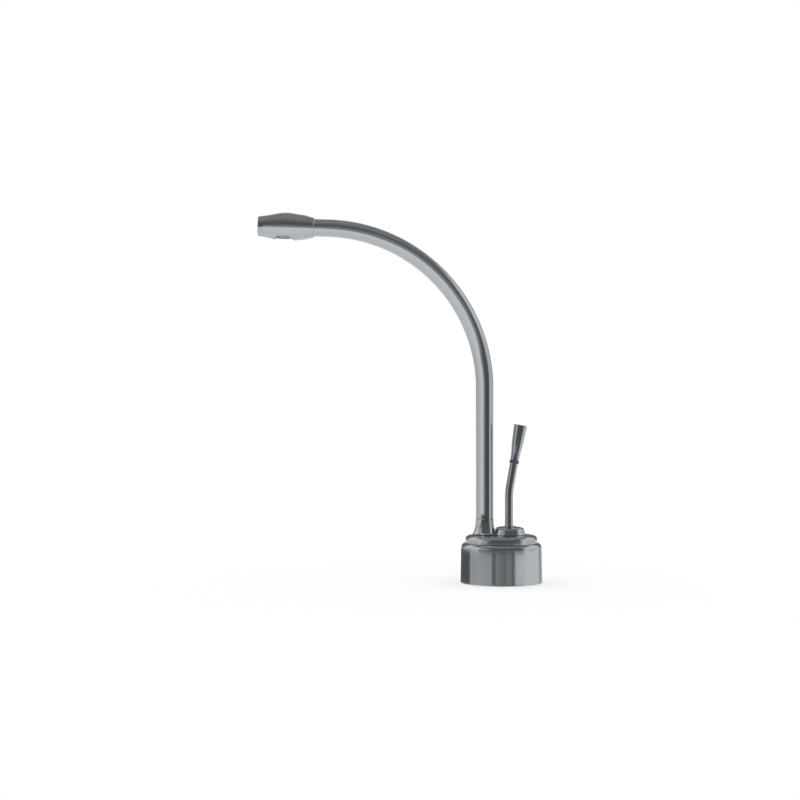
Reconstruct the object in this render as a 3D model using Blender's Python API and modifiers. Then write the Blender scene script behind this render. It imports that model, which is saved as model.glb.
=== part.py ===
# Deck-mounted cold water dispenser: a round base, a swivelling gooseneck spout and a
# self-closing lever. Metres, +Z up. The origin lies on the worktop at the centre of the
# base, the spout reaches out along -X, and the lever tilts away from it, towards +X.

import math

import bmesh
import bpy
from mathutils import Matrix, Vector

# Clearances, overruns and facet counts shared by all pieces
GAP = 0.0003
CUT_OVERRUN = 0.001
MERGE_DISTANCE = 0.00001
SMOOTH_ANGLE = math.radians(32)
SIDES_LARGE = 56
SIDES_MEDIUM = 32
SIDES_SMALL = 20
SIDES_TINY = 12
SIDES_HEX = 6

# Where the two upright axes stand on the base
SPOUT_X = -0.0115
LEVER_X = 0.0053

# Base shell. Its radius follows from the valve body and the cap plate inside it
BASE_DRAFT = 0.0004
BASE_WALL_HEIGHT = 0.0240
BASE_WALL = 0.0022
BASE_FOOT_CHAMFER = 0.0003
SHOULDER_RUN = 0.0026
SHOULDER_RISE = 0.0032
SHOULDER_STEPS = 6
SHELL_WEB = 0.0020

# Cap plate, the stepped ring on top of the shell
CAP_HEIGHT = 0.0053
CAP_THICK = 0.0035
CAP_STEP = 0.0003
CAP_LEDGE = 0.0028
CAP_GROOVE = 0.0005
CAP_EDGE_R = 0.0028
CAP_FALL = 0.0003
CAP_CROWN_RUN = 0.0022
CAP_EDGE_STEPS = 5
CAP_SKIRT = 0.0020
CAP_SKIRT_DEPTH = 0.0020

# Turret cap, which clamps the cap plate and carries the lever
TURRET_FOOT_R = 0.0112
TURRET_HEIGHT = 0.0058
TURRET_SKIN = 0.0012
TURRET_SPIGOT_R = 0.0085
TURRET_SPIGOT_WALL = 0.0020
TURRET_CEILING_CHAMFER = 0.0015
# Shares of the turret's foot radius and of its height, from the top down
TURRET_PROFILE_SHARES = (
    (0.0, 1.0),
    (0.45, 0.934),
    (0.76, 0.826),
    (0.86, 0.74),
    (0.92, 0.60),
    (0.945, 0.42),
    (0.98, 0.14),
)

# Lever: hub on its pivot pin, bent rod, index ring and cone grip
LEVER_TILT = math.radians(20)
HUB_CAVITY_GAP = 0.0004
HUB_STEPS = 6
PIN_R = 0.00125
PIN_BORE_GAP = 0.00025
FOOT_R = 0.0044
FOOT_DROP = 0.0052
NECK_R = 0.00287
NECK_RISE = 0.0047
SLOT_GAP = 0.0004
TENON_DEPTH = 0.0045
TENON_R = 0.0017
ROD_R = 0.0028
ROD_STRAIGHT = 0.0136
ROD_BEND_R = 0.055
ROD_LEAN = math.radians(9.9)
ROD_LEAN_LENGTH = 0.0148
ROD_BEND_STEPS = 6
ROD_BEVEL_RESOLUTION = 4
GRIP_TENON_R = 0.0019
GRIP_TENON_DEPTH = 0.0120
INDEX_RING_R = 0.00318
INDEX_RING_HEIGHT = 0.0026
GRIP_LENGTH = 0.0242
GRIP_TOP_R = 0.00452
GRIP_EDGE = 0.0005
# Shares of the grip's length and of its top radius, from the ring up
GRIP_PROFILE_SHARES = ((0.0, 0.655), (0.14, 0.685), (0.43, 0.845), (0.70, 0.925), (1.0, 1.0))
GRIP_STEPS_PER_SPAN = 2

# Valve stem, its spring, gland and seat, stacked under the hub
STEM_R = 0.0015
STEM_TRAVEL = 0.0013
STEM_HEAD_R = 0.0049
STEM_HEAD_THICK = 0.0014
STEM_TAIL = 0.0004
STEM_COLLAR_R = 0.0019
STEM_COLLAR_HEIGHT = 0.0010
SPRING_LENGTH = 0.0056
SPRING_R = 0.0036
SPRING_WIRE_R = 0.0004
SPRING_TURNS = 3.5
SPRING_POINTS_PER_TURN = 10
SPRING_BEVEL_RESOLUTION = 1
GLAND_R = 0.0053
GLAND_LENGTH = 0.0047
GLAND_FLANGE_R = 0.0076
GLAND_FLANGE = 0.0015
GLAND_POCKET = 0.0017
STEM_ORING_WIRE_R = 0.0005
OUTLET_CHAMBER = 0.0048
SEAT_THICK = 0.0020
SEAT_BORE_GAP = 0.0004
POPPET_R = 0.0036
POPPET_THICK = 0.0016
POPPET_NUT_R = 0.0030
POPPET_NUT_HEIGHT = 0.0016
POPPET_BORE_GAP = 0.0010
PASSAGE_R = 0.0017
PASSAGE_LAND = 0.0004

# Valve body, gasket and the fastening through the worktop. The shank's radius follows from
# the inlet nipple inside it, and those of the washers and the nut follow from the shank
GASKET_THICK = 0.0012
FLANGE_THICK = 0.0027
BODY_WALL = 0.0019
SHANK_WALL = 0.0030
SHANK_LENGTH = 0.0500
SHANK_CHAMFER = 0.0012
SHANK_CLEARANCE = 0.0006
THREAD_LEAD = 0.0095
THREAD_PITCH = 0.0020
THREAD_DEPTH = 0.0010
WORKTOP_THICK = 0.0280
DECK_WASHER_RIM = 0.0075
DECK_WASHER_THICK = 0.0030
CLAMP_WASHER_RIM = 0.0070
CLAMP_WASHER_THICK = 0.0015
NUT_WALL = 0.0030
NUT_HEIGHT = 0.0080
NUT_CHAMFER = 0.0012

# Inlet nipple below the valve
NIPPLE_THREAD_R = 0.0043
NIPPLE_THREAD_LENGTH = 0.0074
NIPPLE_RUN_GAP = 0.0005
NIPPLE_FLANGE_R = 0.0060
NIPPLE_FLANGE = 0.0020
NIPPLE_SIDE_GAP = 0.0007
NIPPLE_STEM_R = 0.0046
NIPPLE_BORE_R = 0.0026
NIPPLE_BELOW_SHANK = 0.0035
NIPPLE_HEX_FLATS = 0.0130
NIPPLE_HEX_HEIGHT = 0.0050
NIPPLE_TAIL_R = 0.00476
NIPPLE_TAIL = 0.0110
NIPPLE_TAIL_CHAMFER = 0.0006

# Spout collar and what seals and holds it in its socket
COLLAR_FOOT_R = 0.0084
COLLAR_TOP_R = 0.00625
COLLAR_HEIGHT = 0.0109
COLLAR_FLARE_POWER = 3.0
COLLAR_STEPS = 7
COLLAR_CLEARANCE = 0.0004
COLLAR_TENON = 0.0080
SPIGOT_R = 0.0049
SPIGOT_BORE_R = 0.0030
SPIGOT_END_LAND = 0.00185
GROOVE_DEPTH = 0.0008
GROOVE_HEIGHT = 0.0023
GROOVE_SPACING = 0.0035
ORING_WIRE_R = 0.0008
ORING_WIRE_SIDES = 6
ORING_COUNT = 2
BUSH_WALL = 0.0008
BUSH_LENGTH = 0.0094
BUSH_FLANGE = 0.0009
BUSH_FLANGE_R = 0.0070
CLIP_HEIGHT = 0.0013
CLIP_SLIT = 0.0030

# Spout tube
TUBE_R = 0.0060
TUBE_WALL = 0.0010
TUBE_RISE = 0.0891
ARC_R = 0.1110
ARC_TURN = math.radians(88.4)
ARC_STEPS = 26
TUBE_BEVEL_RESOLUTION = 10
TUBE_BORE_BEVEL_RESOLUTION = 4

# Nozzle
NOZZLE_LEAD = 0.0098
NOZZLE_LENGTH = 0.0386
NOZZLE_R = 0.0099
NOZZLE_SOCKET = 0.0083
NOZZLE_PASSAGE_R = 0.0035
NOZZLE_TIP_EDGE = 0.0006
NOZZLE_STEPS_PER_SPAN = 2
# Shares of the nozzle's length and of its greatest radius, from the tube to the tip
NOZZLE_PROFILE_SHARES = (
    (0.0, 0.68),
    (0.04, 0.715),
    (0.17, 0.85),
    (0.29, 0.905),
    (0.40, 0.97),
    (0.50, 1.0),
    (0.60, 0.965),
    (0.72, 0.875),
    (0.85, 0.77),
    (1.0, 0.685),
)

# Outlet on the nozzle's underside, at this share of the nozzle's length
OUTLET_SHARE = 0.53
SPOTFACE_DROP = 0.0067
SPOTFACE_R = 0.0075
AERATOR_R = 0.0066
AERATOR_PROUD = 0.0011
AERATOR_HEIGHT = 0.0066
AERATOR_WALL = 0.0014
AERATOR_LIP = 0.0008
SCREEN_THICK = 0.0030
SCREEN_HOLE_R = 0.00055
SCREEN_HOLE_SIDES = 8
SCREEN_RINGS = ((1, 0), (6, 0.0019), (12, 0.0038))
AERATOR_WASHER_THICK = 0.0016
AERATOR_WASHER_HOLE_R = 0.0045

# Levels, each worked out from the piece it rests on
SHELL_TOP_Z = BASE_WALL_HEIGHT + SHOULDER_RISE
CAP_LOW_Z = SHELL_TOP_Z + GAP
CAP_TOP_Z = CAP_LOW_Z + CAP_HEIGHT
CAP_CEILING_Z = CAP_TOP_Z - CAP_THICK
BODY_TOP_Z = CAP_CEILING_Z - GAP
GASKET_TOP_Z = GAP + GASKET_THICK
FLANGE_LOW_Z = GASKET_TOP_Z + GAP
SEATING_Z = CAP_TOP_Z + GAP

TURRET_TOP_Z = SEATING_Z + TURRET_HEIGHT
CAVITY_R = TURRET_SPIGOT_R - TURRET_SPIGOT_WALL
HUB_R = CAVITY_R - HUB_CAVITY_GAP
PIVOT_Z = TURRET_TOP_Z - TURRET_SKIN - GAP - HUB_R
NECK_TOP_Z = TURRET_TOP_Z + NECK_RISE

HEAD_TOP_Z = PIVOT_Z - FOOT_DROP - GAP
HEAD_LOW_Z = HEAD_TOP_Z - STEM_HEAD_THICK
SPRING_LOW_Z = HEAD_LOW_Z - GAP - SPRING_LENGTH
GLAND_TOP_Z = SPRING_LOW_Z - GAP
GLAND_LEDGE_Z = GLAND_TOP_Z - GLAND_FLANGE - GAP
GLAND_LOW_Z = GLAND_TOP_Z - GLAND_FLANGE - GLAND_LENGTH
SEAT_TOP_Z = GLAND_LOW_Z - OUTLET_CHAMBER
SEAT_LOW_Z = SEAT_TOP_Z - SEAT_THICK
SEAT_BORE_R = STEM_COLLAR_R + SEAT_BORE_GAP
POPPET_TOP_Z = SEAT_LOW_Z - GAP
POPPET_LOW_Z = POPPET_TOP_Z - POPPET_THICK
POPPET_NUT_LOW_Z = POPPET_LOW_Z - GAP - POPPET_NUT_HEIGHT
STEM_LOW_Z = POPPET_NUT_LOW_Z - STEM_TAIL
NIPPLE_TOP_Z = POPPET_NUT_LOW_Z - STEM_TRAVEL - NIPPLE_RUN_GAP
NECK_LOW_Z = NIPPLE_TOP_Z - NIPPLE_THREAD_LENGTH
TURRET_BORE_R = TURRET_SPIGOT_R + GAP
GLAND_BORE_R = GLAND_R + GAP
POPPET_CHAMBER_R = POPPET_R + POPPET_BORE_GAP

SOCKET_BORE_R = SPIGOT_R + GAP + BUSH_WALL + GAP
PASSAGE_Z = (SEAT_TOP_Z + GLAND_LOW_Z) / 2
SOCKET_FLOOR_Z = PASSAGE_Z - PASSAGE_R - PASSAGE_LAND
SPIGOT_LOW_Z = PASSAGE_Z + PASSAGE_R + PASSAGE_LAND
BUSH_FLANGE_LOW_Z = CAP_TOP_Z - BUSH_FLANGE
BUSH_LOW_Z = BUSH_FLANGE_LOW_Z - BUSH_LENGTH
CLIP_TOP_Z = BUSH_LOW_Z - GAP
CLIP_LOW_Z = CLIP_TOP_Z - CLIP_HEIGHT
COLLAR_TOP_Z = SEATING_Z + COLLAR_HEIGHT
TUBE_LOW_Z = COLLAR_TOP_Z + GAP
TUBE_BORE_R = TUBE_R - TUBE_WALL
ARC_START_Z = TUBE_LOW_Z + TUBE_RISE

BODY_R = SOCKET_BORE_R + BODY_WALL - SPOUT_X
CAP_RECESS_R = BODY_R + GAP
CAP_SKIRT_R = CAP_RECESS_R + CAP_SKIRT
SHELL_HOLE_R = CAP_SKIRT_R + GAP
CAP_R = CAP_SKIRT_R + CAP_LEDGE
SHOULDER_R = CAP_R + CAP_STEP
BASE_FOOT_R = SHOULDER_R + SHOULDER_RUN + BASE_DRAFT
SHELL_INNER_R = BASE_FOOT_R - BASE_WALL
FLANGE_R = SHELL_INNER_R - BASE_DRAFT - GAP
SHANK_BORE_R = LEVER_X + NIPPLE_FLANGE_R + NIPPLE_SIDE_GAP
SHANK_R = SHANK_BORE_R + SHANK_WALL
BODY_NECK_R = SHANK_BORE_R - GAP
SHANK_TOP_Z = FLANGE_LOW_Z - GAP
SHANK_LOW_Z = SHANK_TOP_Z - SHANK_LENGTH
WASHER_HOLE_R = SHANK_R + GAP
DECK_WASHER_R = SHANK_R + DECK_WASHER_RIM
CLAMP_WASHER_R = SHANK_R + CLAMP_WASHER_RIM
NUT_FLATS = 2 * (SHANK_R + NUT_WALL)


def clear_scene():
    for obj in list(bpy.data.objects):
        bpy.data.objects.remove(obj, do_unlink=True)


def new_collection(name):
    made = bpy.data.collections.new(name)
    bpy.context.scene.collection.children.link(made)
    return made


def new_material(name, colour, roughness, metallic):
    made = bpy.data.materials.new(name)
    made.use_nodes = True
    shader = made.node_tree.nodes["Principled BSDF"]
    shader.inputs["Base Color"].default_value = (*colour, 1)
    shader.inputs["Roughness"].default_value = roughness
    shader.inputs["Metallic"].default_value = metallic
    made.diffuse_color = (*colour, 1)
    return made


def new_axis(name, x=0, z=0):
    empty = bpy.data.objects.new(name, None)
    empty.location = (x, 0, z)
    parts.objects.link(empty)
    return empty


def place(name, mesh, axis, finish=None):
    """Links a mesh as a part with its own copy of the finish, or as a cutter if it has none."""
    obj = bpy.data.objects.new(name, mesh)
    obj.parent = axis
    if finish:
        own = finish.copy()
        own.name = name
        mesh.materials.append(own)
        parts.objects.link(obj)
    else:
        obj.hide_render = True
        obj.display_type = "WIRE"
        cutters.objects.link(obj)
    return obj


def turned(name, profile, sides, axis, finish=None, ring=False):
    """Turns (radius, height) points about the axis. They run down the outer side."""
    mesh = bpy.data.meshes.new(name)
    points = [(radius, 0, height) for radius, height in profile]
    edges = [(index, index + 1) for index in range(len(points) - 1)]
    if ring:
        edges.append((len(points) - 1, 0))
    mesh.from_pydata(points, edges, [])
    obj = place(name, mesh, axis, finish)
    add_turn(obj, sides)
    return obj


def add_turn(obj, sides):
    turn = obj.modifiers.new("turn", "SCREW")
    turn.steps = sides
    turn.render_steps = sides
    turn.use_merge_vertices = True
    turn.merge_threshold = MERGE_DISTANCE
    turn.use_smooth_shade = True


def plain_ring(name, outer_r, inner_r, span, sides, axis, finish):
    low, high = span
    profile = [(outer_r, high), (outer_r, low), (inner_r, low), (inner_r, high)]
    return turned(name, profile, sides, axis, finish, ring=True)


def seal_ring(name, major_r, wire_r, height, axis):
    """A rubber O-ring about the axis."""
    mesh = bpy.data.meshes.new(name)
    shape = bmesh.new()
    section = bmesh.ops.create_circle(shape, segments=ORING_WIRE_SIDES, radius=wire_r)["verts"]
    upright = Matrix.Translation((major_r, 0, height)) @ Matrix.Rotation(math.pi / 2, 4, "X")
    bmesh.ops.transform(shape, matrix=upright, verts=section)
    shape.to_mesh(mesh)
    shape.free()
    add_turn(place(name, mesh, axis, rubber), SIDES_SMALL)


def prism(name, radius, low, high, sides, axis, finish=None):
    """An upright cylinder or hexagonal bar from low to high."""
    mesh = bpy.data.meshes.new(name)
    shape = bmesh.new()
    bmesh.ops.create_cone(
        shape, cap_ends=True, segments=sides, radius1=radius, radius2=radius, depth=high - low
    )
    bmesh.ops.translate(shape, vec=(0, 0, (low + high) / 2), verts=shape.verts)
    shape.to_mesh(mesh)
    shape.free()
    return place(name, mesh, axis, finish)


def corner_radius(across_flats):
    """The radius to the corners of a hexagon."""
    return across_flats / 2 / math.cos(math.pi / SIDES_HEX)


def use_boolean(obj, other, operation="DIFFERENCE"):
    modifier = obj.modifiers.new(other.name, "BOOLEAN")
    modifier.operation = operation
    modifier.object = other


def swept(name, route, radii, bevel_resolution, axis, finish=None):
    """A rod or tube along the route, as a mesh with welded caps."""
    curve = bpy.data.curves.new(name + "_route", "CURVE")
    curve.dimensions = "3D"
    curve.bevel_depth = max(radii)
    curve.bevel_resolution = bevel_resolution
    curve.use_fill_caps = True
    spline = curve.splines.new("POLY")
    spline.points.add(len(route) - 1)
    for point, where, radius in zip(spline.points, route, radii):
        point.co = (*where, 1)
        point.radius = radius / max(radii)
    return place(name, mesh_of_curve(name, curve), axis, finish)


def mesh_of_curve(name, curve, lift=0):
    """The curve's mesh, welded closed, with its normals outwards, and moved up by the lift."""
    wire = bpy.data.objects.new(name + "_wire", curve)
    cutters.objects.link(wire)
    bpy.context.view_layer.update()
    graph = bpy.context.evaluated_depsgraph_get()
    mesh = bpy.data.meshes.new_from_object(wire.evaluated_get(graph))
    bpy.data.objects.remove(wire)
    mesh.name = name
    mesh.materials.clear()
    shape = bmesh.new()
    shape.from_mesh(mesh)
    bmesh.ops.remove_doubles(shape, verts=shape.verts, dist=MERGE_DISTANCE)
    bmesh.ops.recalc_face_normals(shape, faces=shape.faces)
    bmesh.ops.translate(shape, vec=(0, 0, lift), verts=shape.verts)
    shape.to_mesh(mesh)
    shape.free()
    return mesh


def quarter_curve(centre_r, centre_z, run, rise, steps):
    """Points of a rounded edge, from its top to its outer side."""
    angles = [math.pi / 2 * (1 - step / steps) for step in range(steps + 1)]
    return [(centre_r + run * math.cos(a), centre_z + rise * math.sin(a)) for a in angles]


def smooth_through(points, steps):
    """A Catmull-Rom curve through the points, with some steps to each span."""
    ends = [points[0], *points, points[-1]]
    made = []
    for before, start, end, after in zip(ends, ends[1:], ends[2:], ends[3:]):
        for step in range(steps):
            t = step / steps
            made.append(
                tuple(
                    b + t * (c - a) / 2 + t * t * (a - 2.5 * b + 2 * c - d / 2)
                    + t * t * t * (1.5 * (b - c) + (d - a) / 2)
                    for a, b, c, d in zip(before, start, end, after)
                )
            )
    return [*made, points[-1]]


def make_base_shell():
    top_r = SHOULDER_R + SHOULDER_RUN
    profile = [(SHELL_HOLE_R, SHELL_TOP_Z)]
    profile += quarter_curve(
        SHOULDER_R, BASE_WALL_HEIGHT, SHOULDER_RUN, SHOULDER_RISE, SHOULDER_STEPS
    )
    profile += [
        (BASE_FOOT_R, BASE_FOOT_CHAMFER),
        (BASE_FOOT_R - BASE_FOOT_CHAMFER, 0),
        (SHELL_INNER_R, 0),
        (top_r - BASE_WALL, SHELL_TOP_Z - SHELL_WEB),
        (SHELL_HOLE_R, SHELL_TOP_Z - SHELL_WEB),
    ]
    turned("base_shell", profile, SIDES_LARGE, base_axis, nickel, ring=True)


def make_cap_plate():
    edge_r = CAP_R - CAP_EDGE_R
    edge_z = CAP_TOP_Z - CAP_FALL - CAP_EDGE_R
    groove_r = CAP_R - CAP_GROOVE
    skirt_low = CAP_LOW_Z - CAP_SKIRT_DEPTH
    profile = [(0, CAP_TOP_Z), (edge_r - CAP_CROWN_RUN, CAP_TOP_Z)]
    profile += quarter_curve(edge_r, edge_z, CAP_EDGE_R, CAP_EDGE_R, CAP_EDGE_STEPS)
    profile += [
        (CAP_R, CAP_LOW_Z + CAP_GROOVE),
        (groove_r, CAP_LOW_Z + CAP_GROOVE),
        (groove_r, CAP_LOW_Z),
        (CAP_SKIRT_R, CAP_LOW_Z),
        (CAP_SKIRT_R, skirt_low),
        (CAP_RECESS_R, skirt_low),
        (CAP_RECESS_R, CAP_CEILING_Z),
        (0, CAP_CEILING_Z),
    ]
    plate = turned("cap_plate", profile, SIDES_LARGE, base_axis, nickel)
    low, high = CAP_CEILING_Z - CUT_OVERRUN, CAP_TOP_Z + CUT_OVERRUN
    counterbore_low = BUSH_FLANGE_LOW_Z - GAP
    for cutter in (
        prism("cap_turret_hole", TURRET_BORE_R, low, high, SIDES_MEDIUM, lever_axis),
        prism("cap_spout_hole", SOCKET_BORE_R, low, high, SIDES_SMALL, spout_axis),
        prism("cap_bush_seat", BUSH_FLANGE_R + GAP, counterbore_low, high, SIDES_MEDIUM, spout_axis),
    ):
        use_boolean(plate, cutter)


def make_slot_cutter(low, high, travel, radius):
    """A straight slot with round ends, from the turret's axis to its travel along +X."""
    curve = bpy.data.curves.new("turret_slot_outline", "CURVE")
    curve.dimensions = "2D"
    curve.fill_mode = "BOTH"
    curve.extrude = (high - low) / 2
    spline = curve.splines.new("POLY")
    half_turn = [math.pi * step / SIDES_TINY for step in range(SIDES_TINY + 1)]
    outline = [(travel + radius * math.sin(a), -radius * math.cos(a)) for a in half_turn]
    outline += [(-radius * math.sin(a), radius * math.cos(a)) for a in half_turn]
    spline.points.add(len(outline) - 1)
    for point, (x, y) in zip(spline.points, outline):
        point.co = (x, y, 0, 1)
    spline.use_cyclic_u = True
    return place("turret_slot", mesh_of_curve("turret_slot", curve, (low + high) / 2), lever_axis)


def make_turret_cap():
    outer = [
        (TURRET_FOOT_R * r_share, SEATING_Z + TURRET_HEIGHT * z_share)
        for r_share, z_share in TURRET_PROFILE_SHARES
    ]
    ceiling = TURRET_TOP_Z - TURRET_SKIN
    spigot_low = GLAND_TOP_Z + GAP
    profile = [
        *outer,
        (TURRET_FOOT_R, SEATING_Z),
        (TURRET_SPIGOT_R, SEATING_Z),
        (TURRET_SPIGOT_R, spigot_low),
        (CAVITY_R, spigot_low),
        (CAVITY_R, ceiling - TURRET_CEILING_CHAMFER),
        (CAVITY_R - TURRET_CEILING_CHAMFER, ceiling),
        (0, ceiling),
    ]
    turret = turned("turret_cap", profile, SIDES_LARGE, lever_axis, nickel)
    travel = (TURRET_TOP_Z - PIVOT_Z) * math.tan(LEVER_TILT)
    high = TURRET_TOP_Z + CUT_OVERRUN
    slot = make_slot_cutter(ceiling - CUT_OVERRUN, high, travel, NECK_R + SLOT_GAP)
    relief_r = COLLAR_FOOT_R + COLLAR_CLEARANCE
    relief = prism("turret_relief", relief_r, CAP_TOP_Z, high, SIDES_MEDIUM, spout_axis)
    for cutter in (slot, relief, make_pin("turret_pin_holes", PIN_R + PIN_BORE_GAP, CUT_OVERRUN)):
        use_boolean(turret, cutter)


def make_pin(name, radius, overrun, finish=None):
    """A cylinder across the turret, along Y through the pivot."""
    half = TURRET_SPIGOT_R + overrun
    pin = prism(name, radius, -half, half, SIDES_TINY, pivot_axis, finish)
    pin.rotation_euler = (math.pi / 2, 0, 0)
    return pin


def make_lever():
    neck_top = NECK_TOP_Z - PIVOT_Z
    bore_floor = neck_top - TENON_DEPTH
    start = math.acos(NECK_R / HUB_R)
    end = -math.acos(FOOT_R / HUB_R)
    angles = [start + (end - start) * step / HUB_STEPS for step in range(HUB_STEPS + 1)]
    profile = [
        (0, bore_floor),
        (TENON_R + GAP, bore_floor),
        (TENON_R + GAP, neck_top),
        (NECK_R, neck_top),
        *[(HUB_R * math.cos(a), HUB_R * math.sin(a)) for a in angles],
        (FOOT_R, -FOOT_DROP),
        (0, -FOOT_DROP),
    ]
    hub = turned("lever_hub", profile, SIDES_SMALL, pivot_axis, nickel)
    use_boolean(hub, make_pin("hub_pin_bore", PIN_R + PIN_BORE_GAP, CUT_OVERRUN))

    rod_low = neck_top + GAP
    bend_z = rod_low + ROD_STRAIGHT
    bend = [
        Vector((ROD_BEND_R * (1 - math.cos(a)), 0, bend_z + ROD_BEND_R * math.sin(a)))
        for a in (ROD_LEAN * step / ROD_BEND_STEPS for step in range(ROD_BEND_STEPS + 1))
    ]
    lean = Vector((math.sin(ROD_LEAN), 0, math.cos(ROD_LEAN)))
    rod_top = bend[-1] + lean * ROD_LEAN_LENGTH
    ring_low = rod_top + lean * GAP
    grip_low = ring_low + lean * (INDEX_RING_HEIGHT + GAP)
    tenon_top = grip_low + lean * GRIP_TENON_DEPTH
    step_up = Vector((0, 0, MERGE_DISTANCE * 2))
    foot = Vector((0, 0, bore_floor + GAP))
    shoulder = Vector((0, 0, rod_low))
    route = [foot, shoulder - step_up, shoulder, *bend, rod_top, ring_low, tenon_top]
    radii = [TENON_R, TENON_R, ROD_R, *[ROD_R] * len(bend), ROD_R, GRIP_TENON_R, GRIP_TENON_R]
    swept("lever_rod", route, radii, ROD_BEVEL_RESOLUTION, pivot_axis, nickel)

    tenon_hole_r = GRIP_TENON_R + GAP
    span = (0, INDEX_RING_HEIGHT)
    ring = plain_ring("index_ring", INDEX_RING_R, tenon_hole_r, span, SIDES_SMALL, pivot_axis, blue)
    ring.location = ring_low
    ring.rotation_euler = (0, ROD_LEAN, 0)

    side = smooth_through(
        [(GRIP_TOP_R * r_share, GRIP_LENGTH * z_share) for z_share, r_share in GRIP_PROFILE_SHARES],
        GRIP_STEPS_PER_SPAN,
    )[:-1]
    hole_top = GRIP_TENON_DEPTH + GAP
    profile = [
        (0, GRIP_LENGTH),
        (GRIP_TOP_R - GRIP_EDGE, GRIP_LENGTH),
        (GRIP_TOP_R, GRIP_LENGTH - GRIP_EDGE),
        *reversed(side),
        (tenon_hole_r, 0),
        (tenon_hole_r, hole_top),
        (0, hole_top),
    ]
    grip = turned("lever_grip", profile, SIDES_SMALL, pivot_axis, nickel)
    grip.location = grip_low
    grip.rotation_euler = (0, ROD_LEAN, 0)


def make_valve_body():
    flange_top = FLANGE_LOW_Z + FLANGE_THICK
    profile = [
        (0, BODY_TOP_Z),
        (BODY_R, BODY_TOP_Z),
        (BODY_R, flange_top),
        (FLANGE_R, flange_top),
        (FLANGE_R, FLANGE_LOW_Z),
        (BODY_NECK_R, FLANGE_LOW_Z),
        (BODY_NECK_R, NECK_LOW_Z),
        (0, NECK_LOW_Z),
    ]
    body = turned("valve_body", profile, SIDES_MEDIUM, base_axis, brass)
    high = BODY_TOP_Z + CUT_OVERRUN
    seat_ledge = SEAT_LOW_Z - GAP
    nipple_bore_r = NIPPLE_THREAD_R + GAP
    neck_end = NECK_LOW_Z - CUT_OVERRUN
    passage = prism("body_passage", PASSAGE_R, SPOUT_X, LEVER_X, SIDES_TINY, base_axis)
    passage.location = (0, 0, PASSAGE_Z)
    passage.rotation_euler = (0, math.pi / 2, 0)
    for cutter in (
        prism("body_turret_bore", TURRET_BORE_R, GLAND_LEDGE_Z, high, SIDES_MEDIUM, lever_axis),
        prism("body_gland_bore", GLAND_BORE_R, seat_ledge, high, SIDES_SMALL, lever_axis),
        prism("body_poppet_bore", POPPET_CHAMBER_R, NIPPLE_TOP_Z, high, SIDES_SMALL, lever_axis),
        prism("body_nipple_bore", nipple_bore_r, neck_end, NIPPLE_TOP_Z + GAP, SIDES_SMALL, lever_axis),
        prism("body_spout_socket", SOCKET_BORE_R, SOCKET_FLOOR_Z, high, SIDES_SMALL, spout_axis),
        passage,
    ):
        use_boolean(body, cutter)


def make_valve():
    stem_hole_r = STEM_R + GAP
    collar_low = SEAT_LOW_Z
    collar_high = collar_low + STEM_COLLAR_HEIGHT
    stem = [
        (0, HEAD_TOP_Z),
        (STEM_HEAD_R, HEAD_TOP_Z),
        (STEM_HEAD_R, HEAD_LOW_Z),
        (STEM_R, HEAD_LOW_Z),
        (STEM_R, collar_high),
        (STEM_COLLAR_R, collar_high),
        (STEM_COLLAR_R, collar_low),
        (STEM_R, collar_low),
        (STEM_R, STEM_LOW_Z),
        (0, STEM_LOW_Z),
    ]
    turned("valve_stem", stem, SIDES_SMALL, lever_axis, steel)

    pocket_r = stem_hole_r + STEM_ORING_WIRE_R * 2 + GAP
    pocket_top = GLAND_LOW_Z + GLAND_POCKET
    flange_low = GLAND_TOP_Z - GLAND_FLANGE
    gland = [
        (GLAND_FLANGE_R, GLAND_TOP_Z),
        (GLAND_FLANGE_R, flange_low),
        (GLAND_R, flange_low),
        (GLAND_R, GLAND_LOW_Z),
        (pocket_r, GLAND_LOW_Z),
        (pocket_r, pocket_top),
        (stem_hole_r, pocket_top),
        (stem_hole_r, GLAND_TOP_Z),
    ]
    turned("gland_nut", gland, SIDES_SMALL, lever_axis, brass, ring=True)
    oring_z = pocket_top - GAP - STEM_ORING_WIRE_R
    seal_ring("stem_oring", stem_hole_r + STEM_ORING_WIRE_R, STEM_ORING_WIRE_R, oring_z, lever_axis)

    span = (SEAT_LOW_Z, SEAT_TOP_Z)
    plain_ring("valve_seat", GLAND_R, SEAT_BORE_R, span, SIDES_SMALL, lever_axis, brass)
    span = (POPPET_LOW_Z, POPPET_TOP_Z)
    plain_ring("poppet_washer", POPPET_R, stem_hole_r, span, SIDES_TINY, lever_axis, rubber)
    nut_high = POPPET_LOW_Z - GAP
    nut = prism("poppet_nut", POPPET_NUT_R, POPPET_NUT_LOW_Z, nut_high, SIDES_HEX, lever_axis, brass)
    low, high = POPPET_NUT_LOW_Z - CUT_OVERRUN, nut_high + CUT_OVERRUN
    use_boolean(nut, prism("poppet_nut_hole", stem_hole_r, low, high, SIDES_TINY, lever_axis))


def make_return_spring():
    """The coil between the gland and the stem's head. It prints its least gap to itself."""
    count = round(SPRING_TURNS * SPRING_POINTS_PER_TURN)
    rise = SPRING_LENGTH - 2 * SPRING_WIRE_R
    route = []
    for index in range(count + 1):
        turn = 2 * math.pi * SPRING_TURNS * index / count
        height = SPRING_LOW_Z + SPRING_WIRE_R + rise * index / count
        route.append(Vector((SPRING_R * math.cos(turn), SPRING_R * math.sin(turn), height)))
    apart = SPRING_POINTS_PER_TURN // 2
    least = min(
        (route[j] - route[i]).length for i in range(count) for j in range(i + apart, count + 1)
    )
    print(f"return spring: least gap between turns {(least - 2 * SPRING_WIRE_R) * 1000:.2f} mm")
    radii = [SPRING_WIRE_R] * len(route)
    swept("return_spring", route, radii, SPRING_BEVEL_RESOLUTION, lever_axis, steel)


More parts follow.
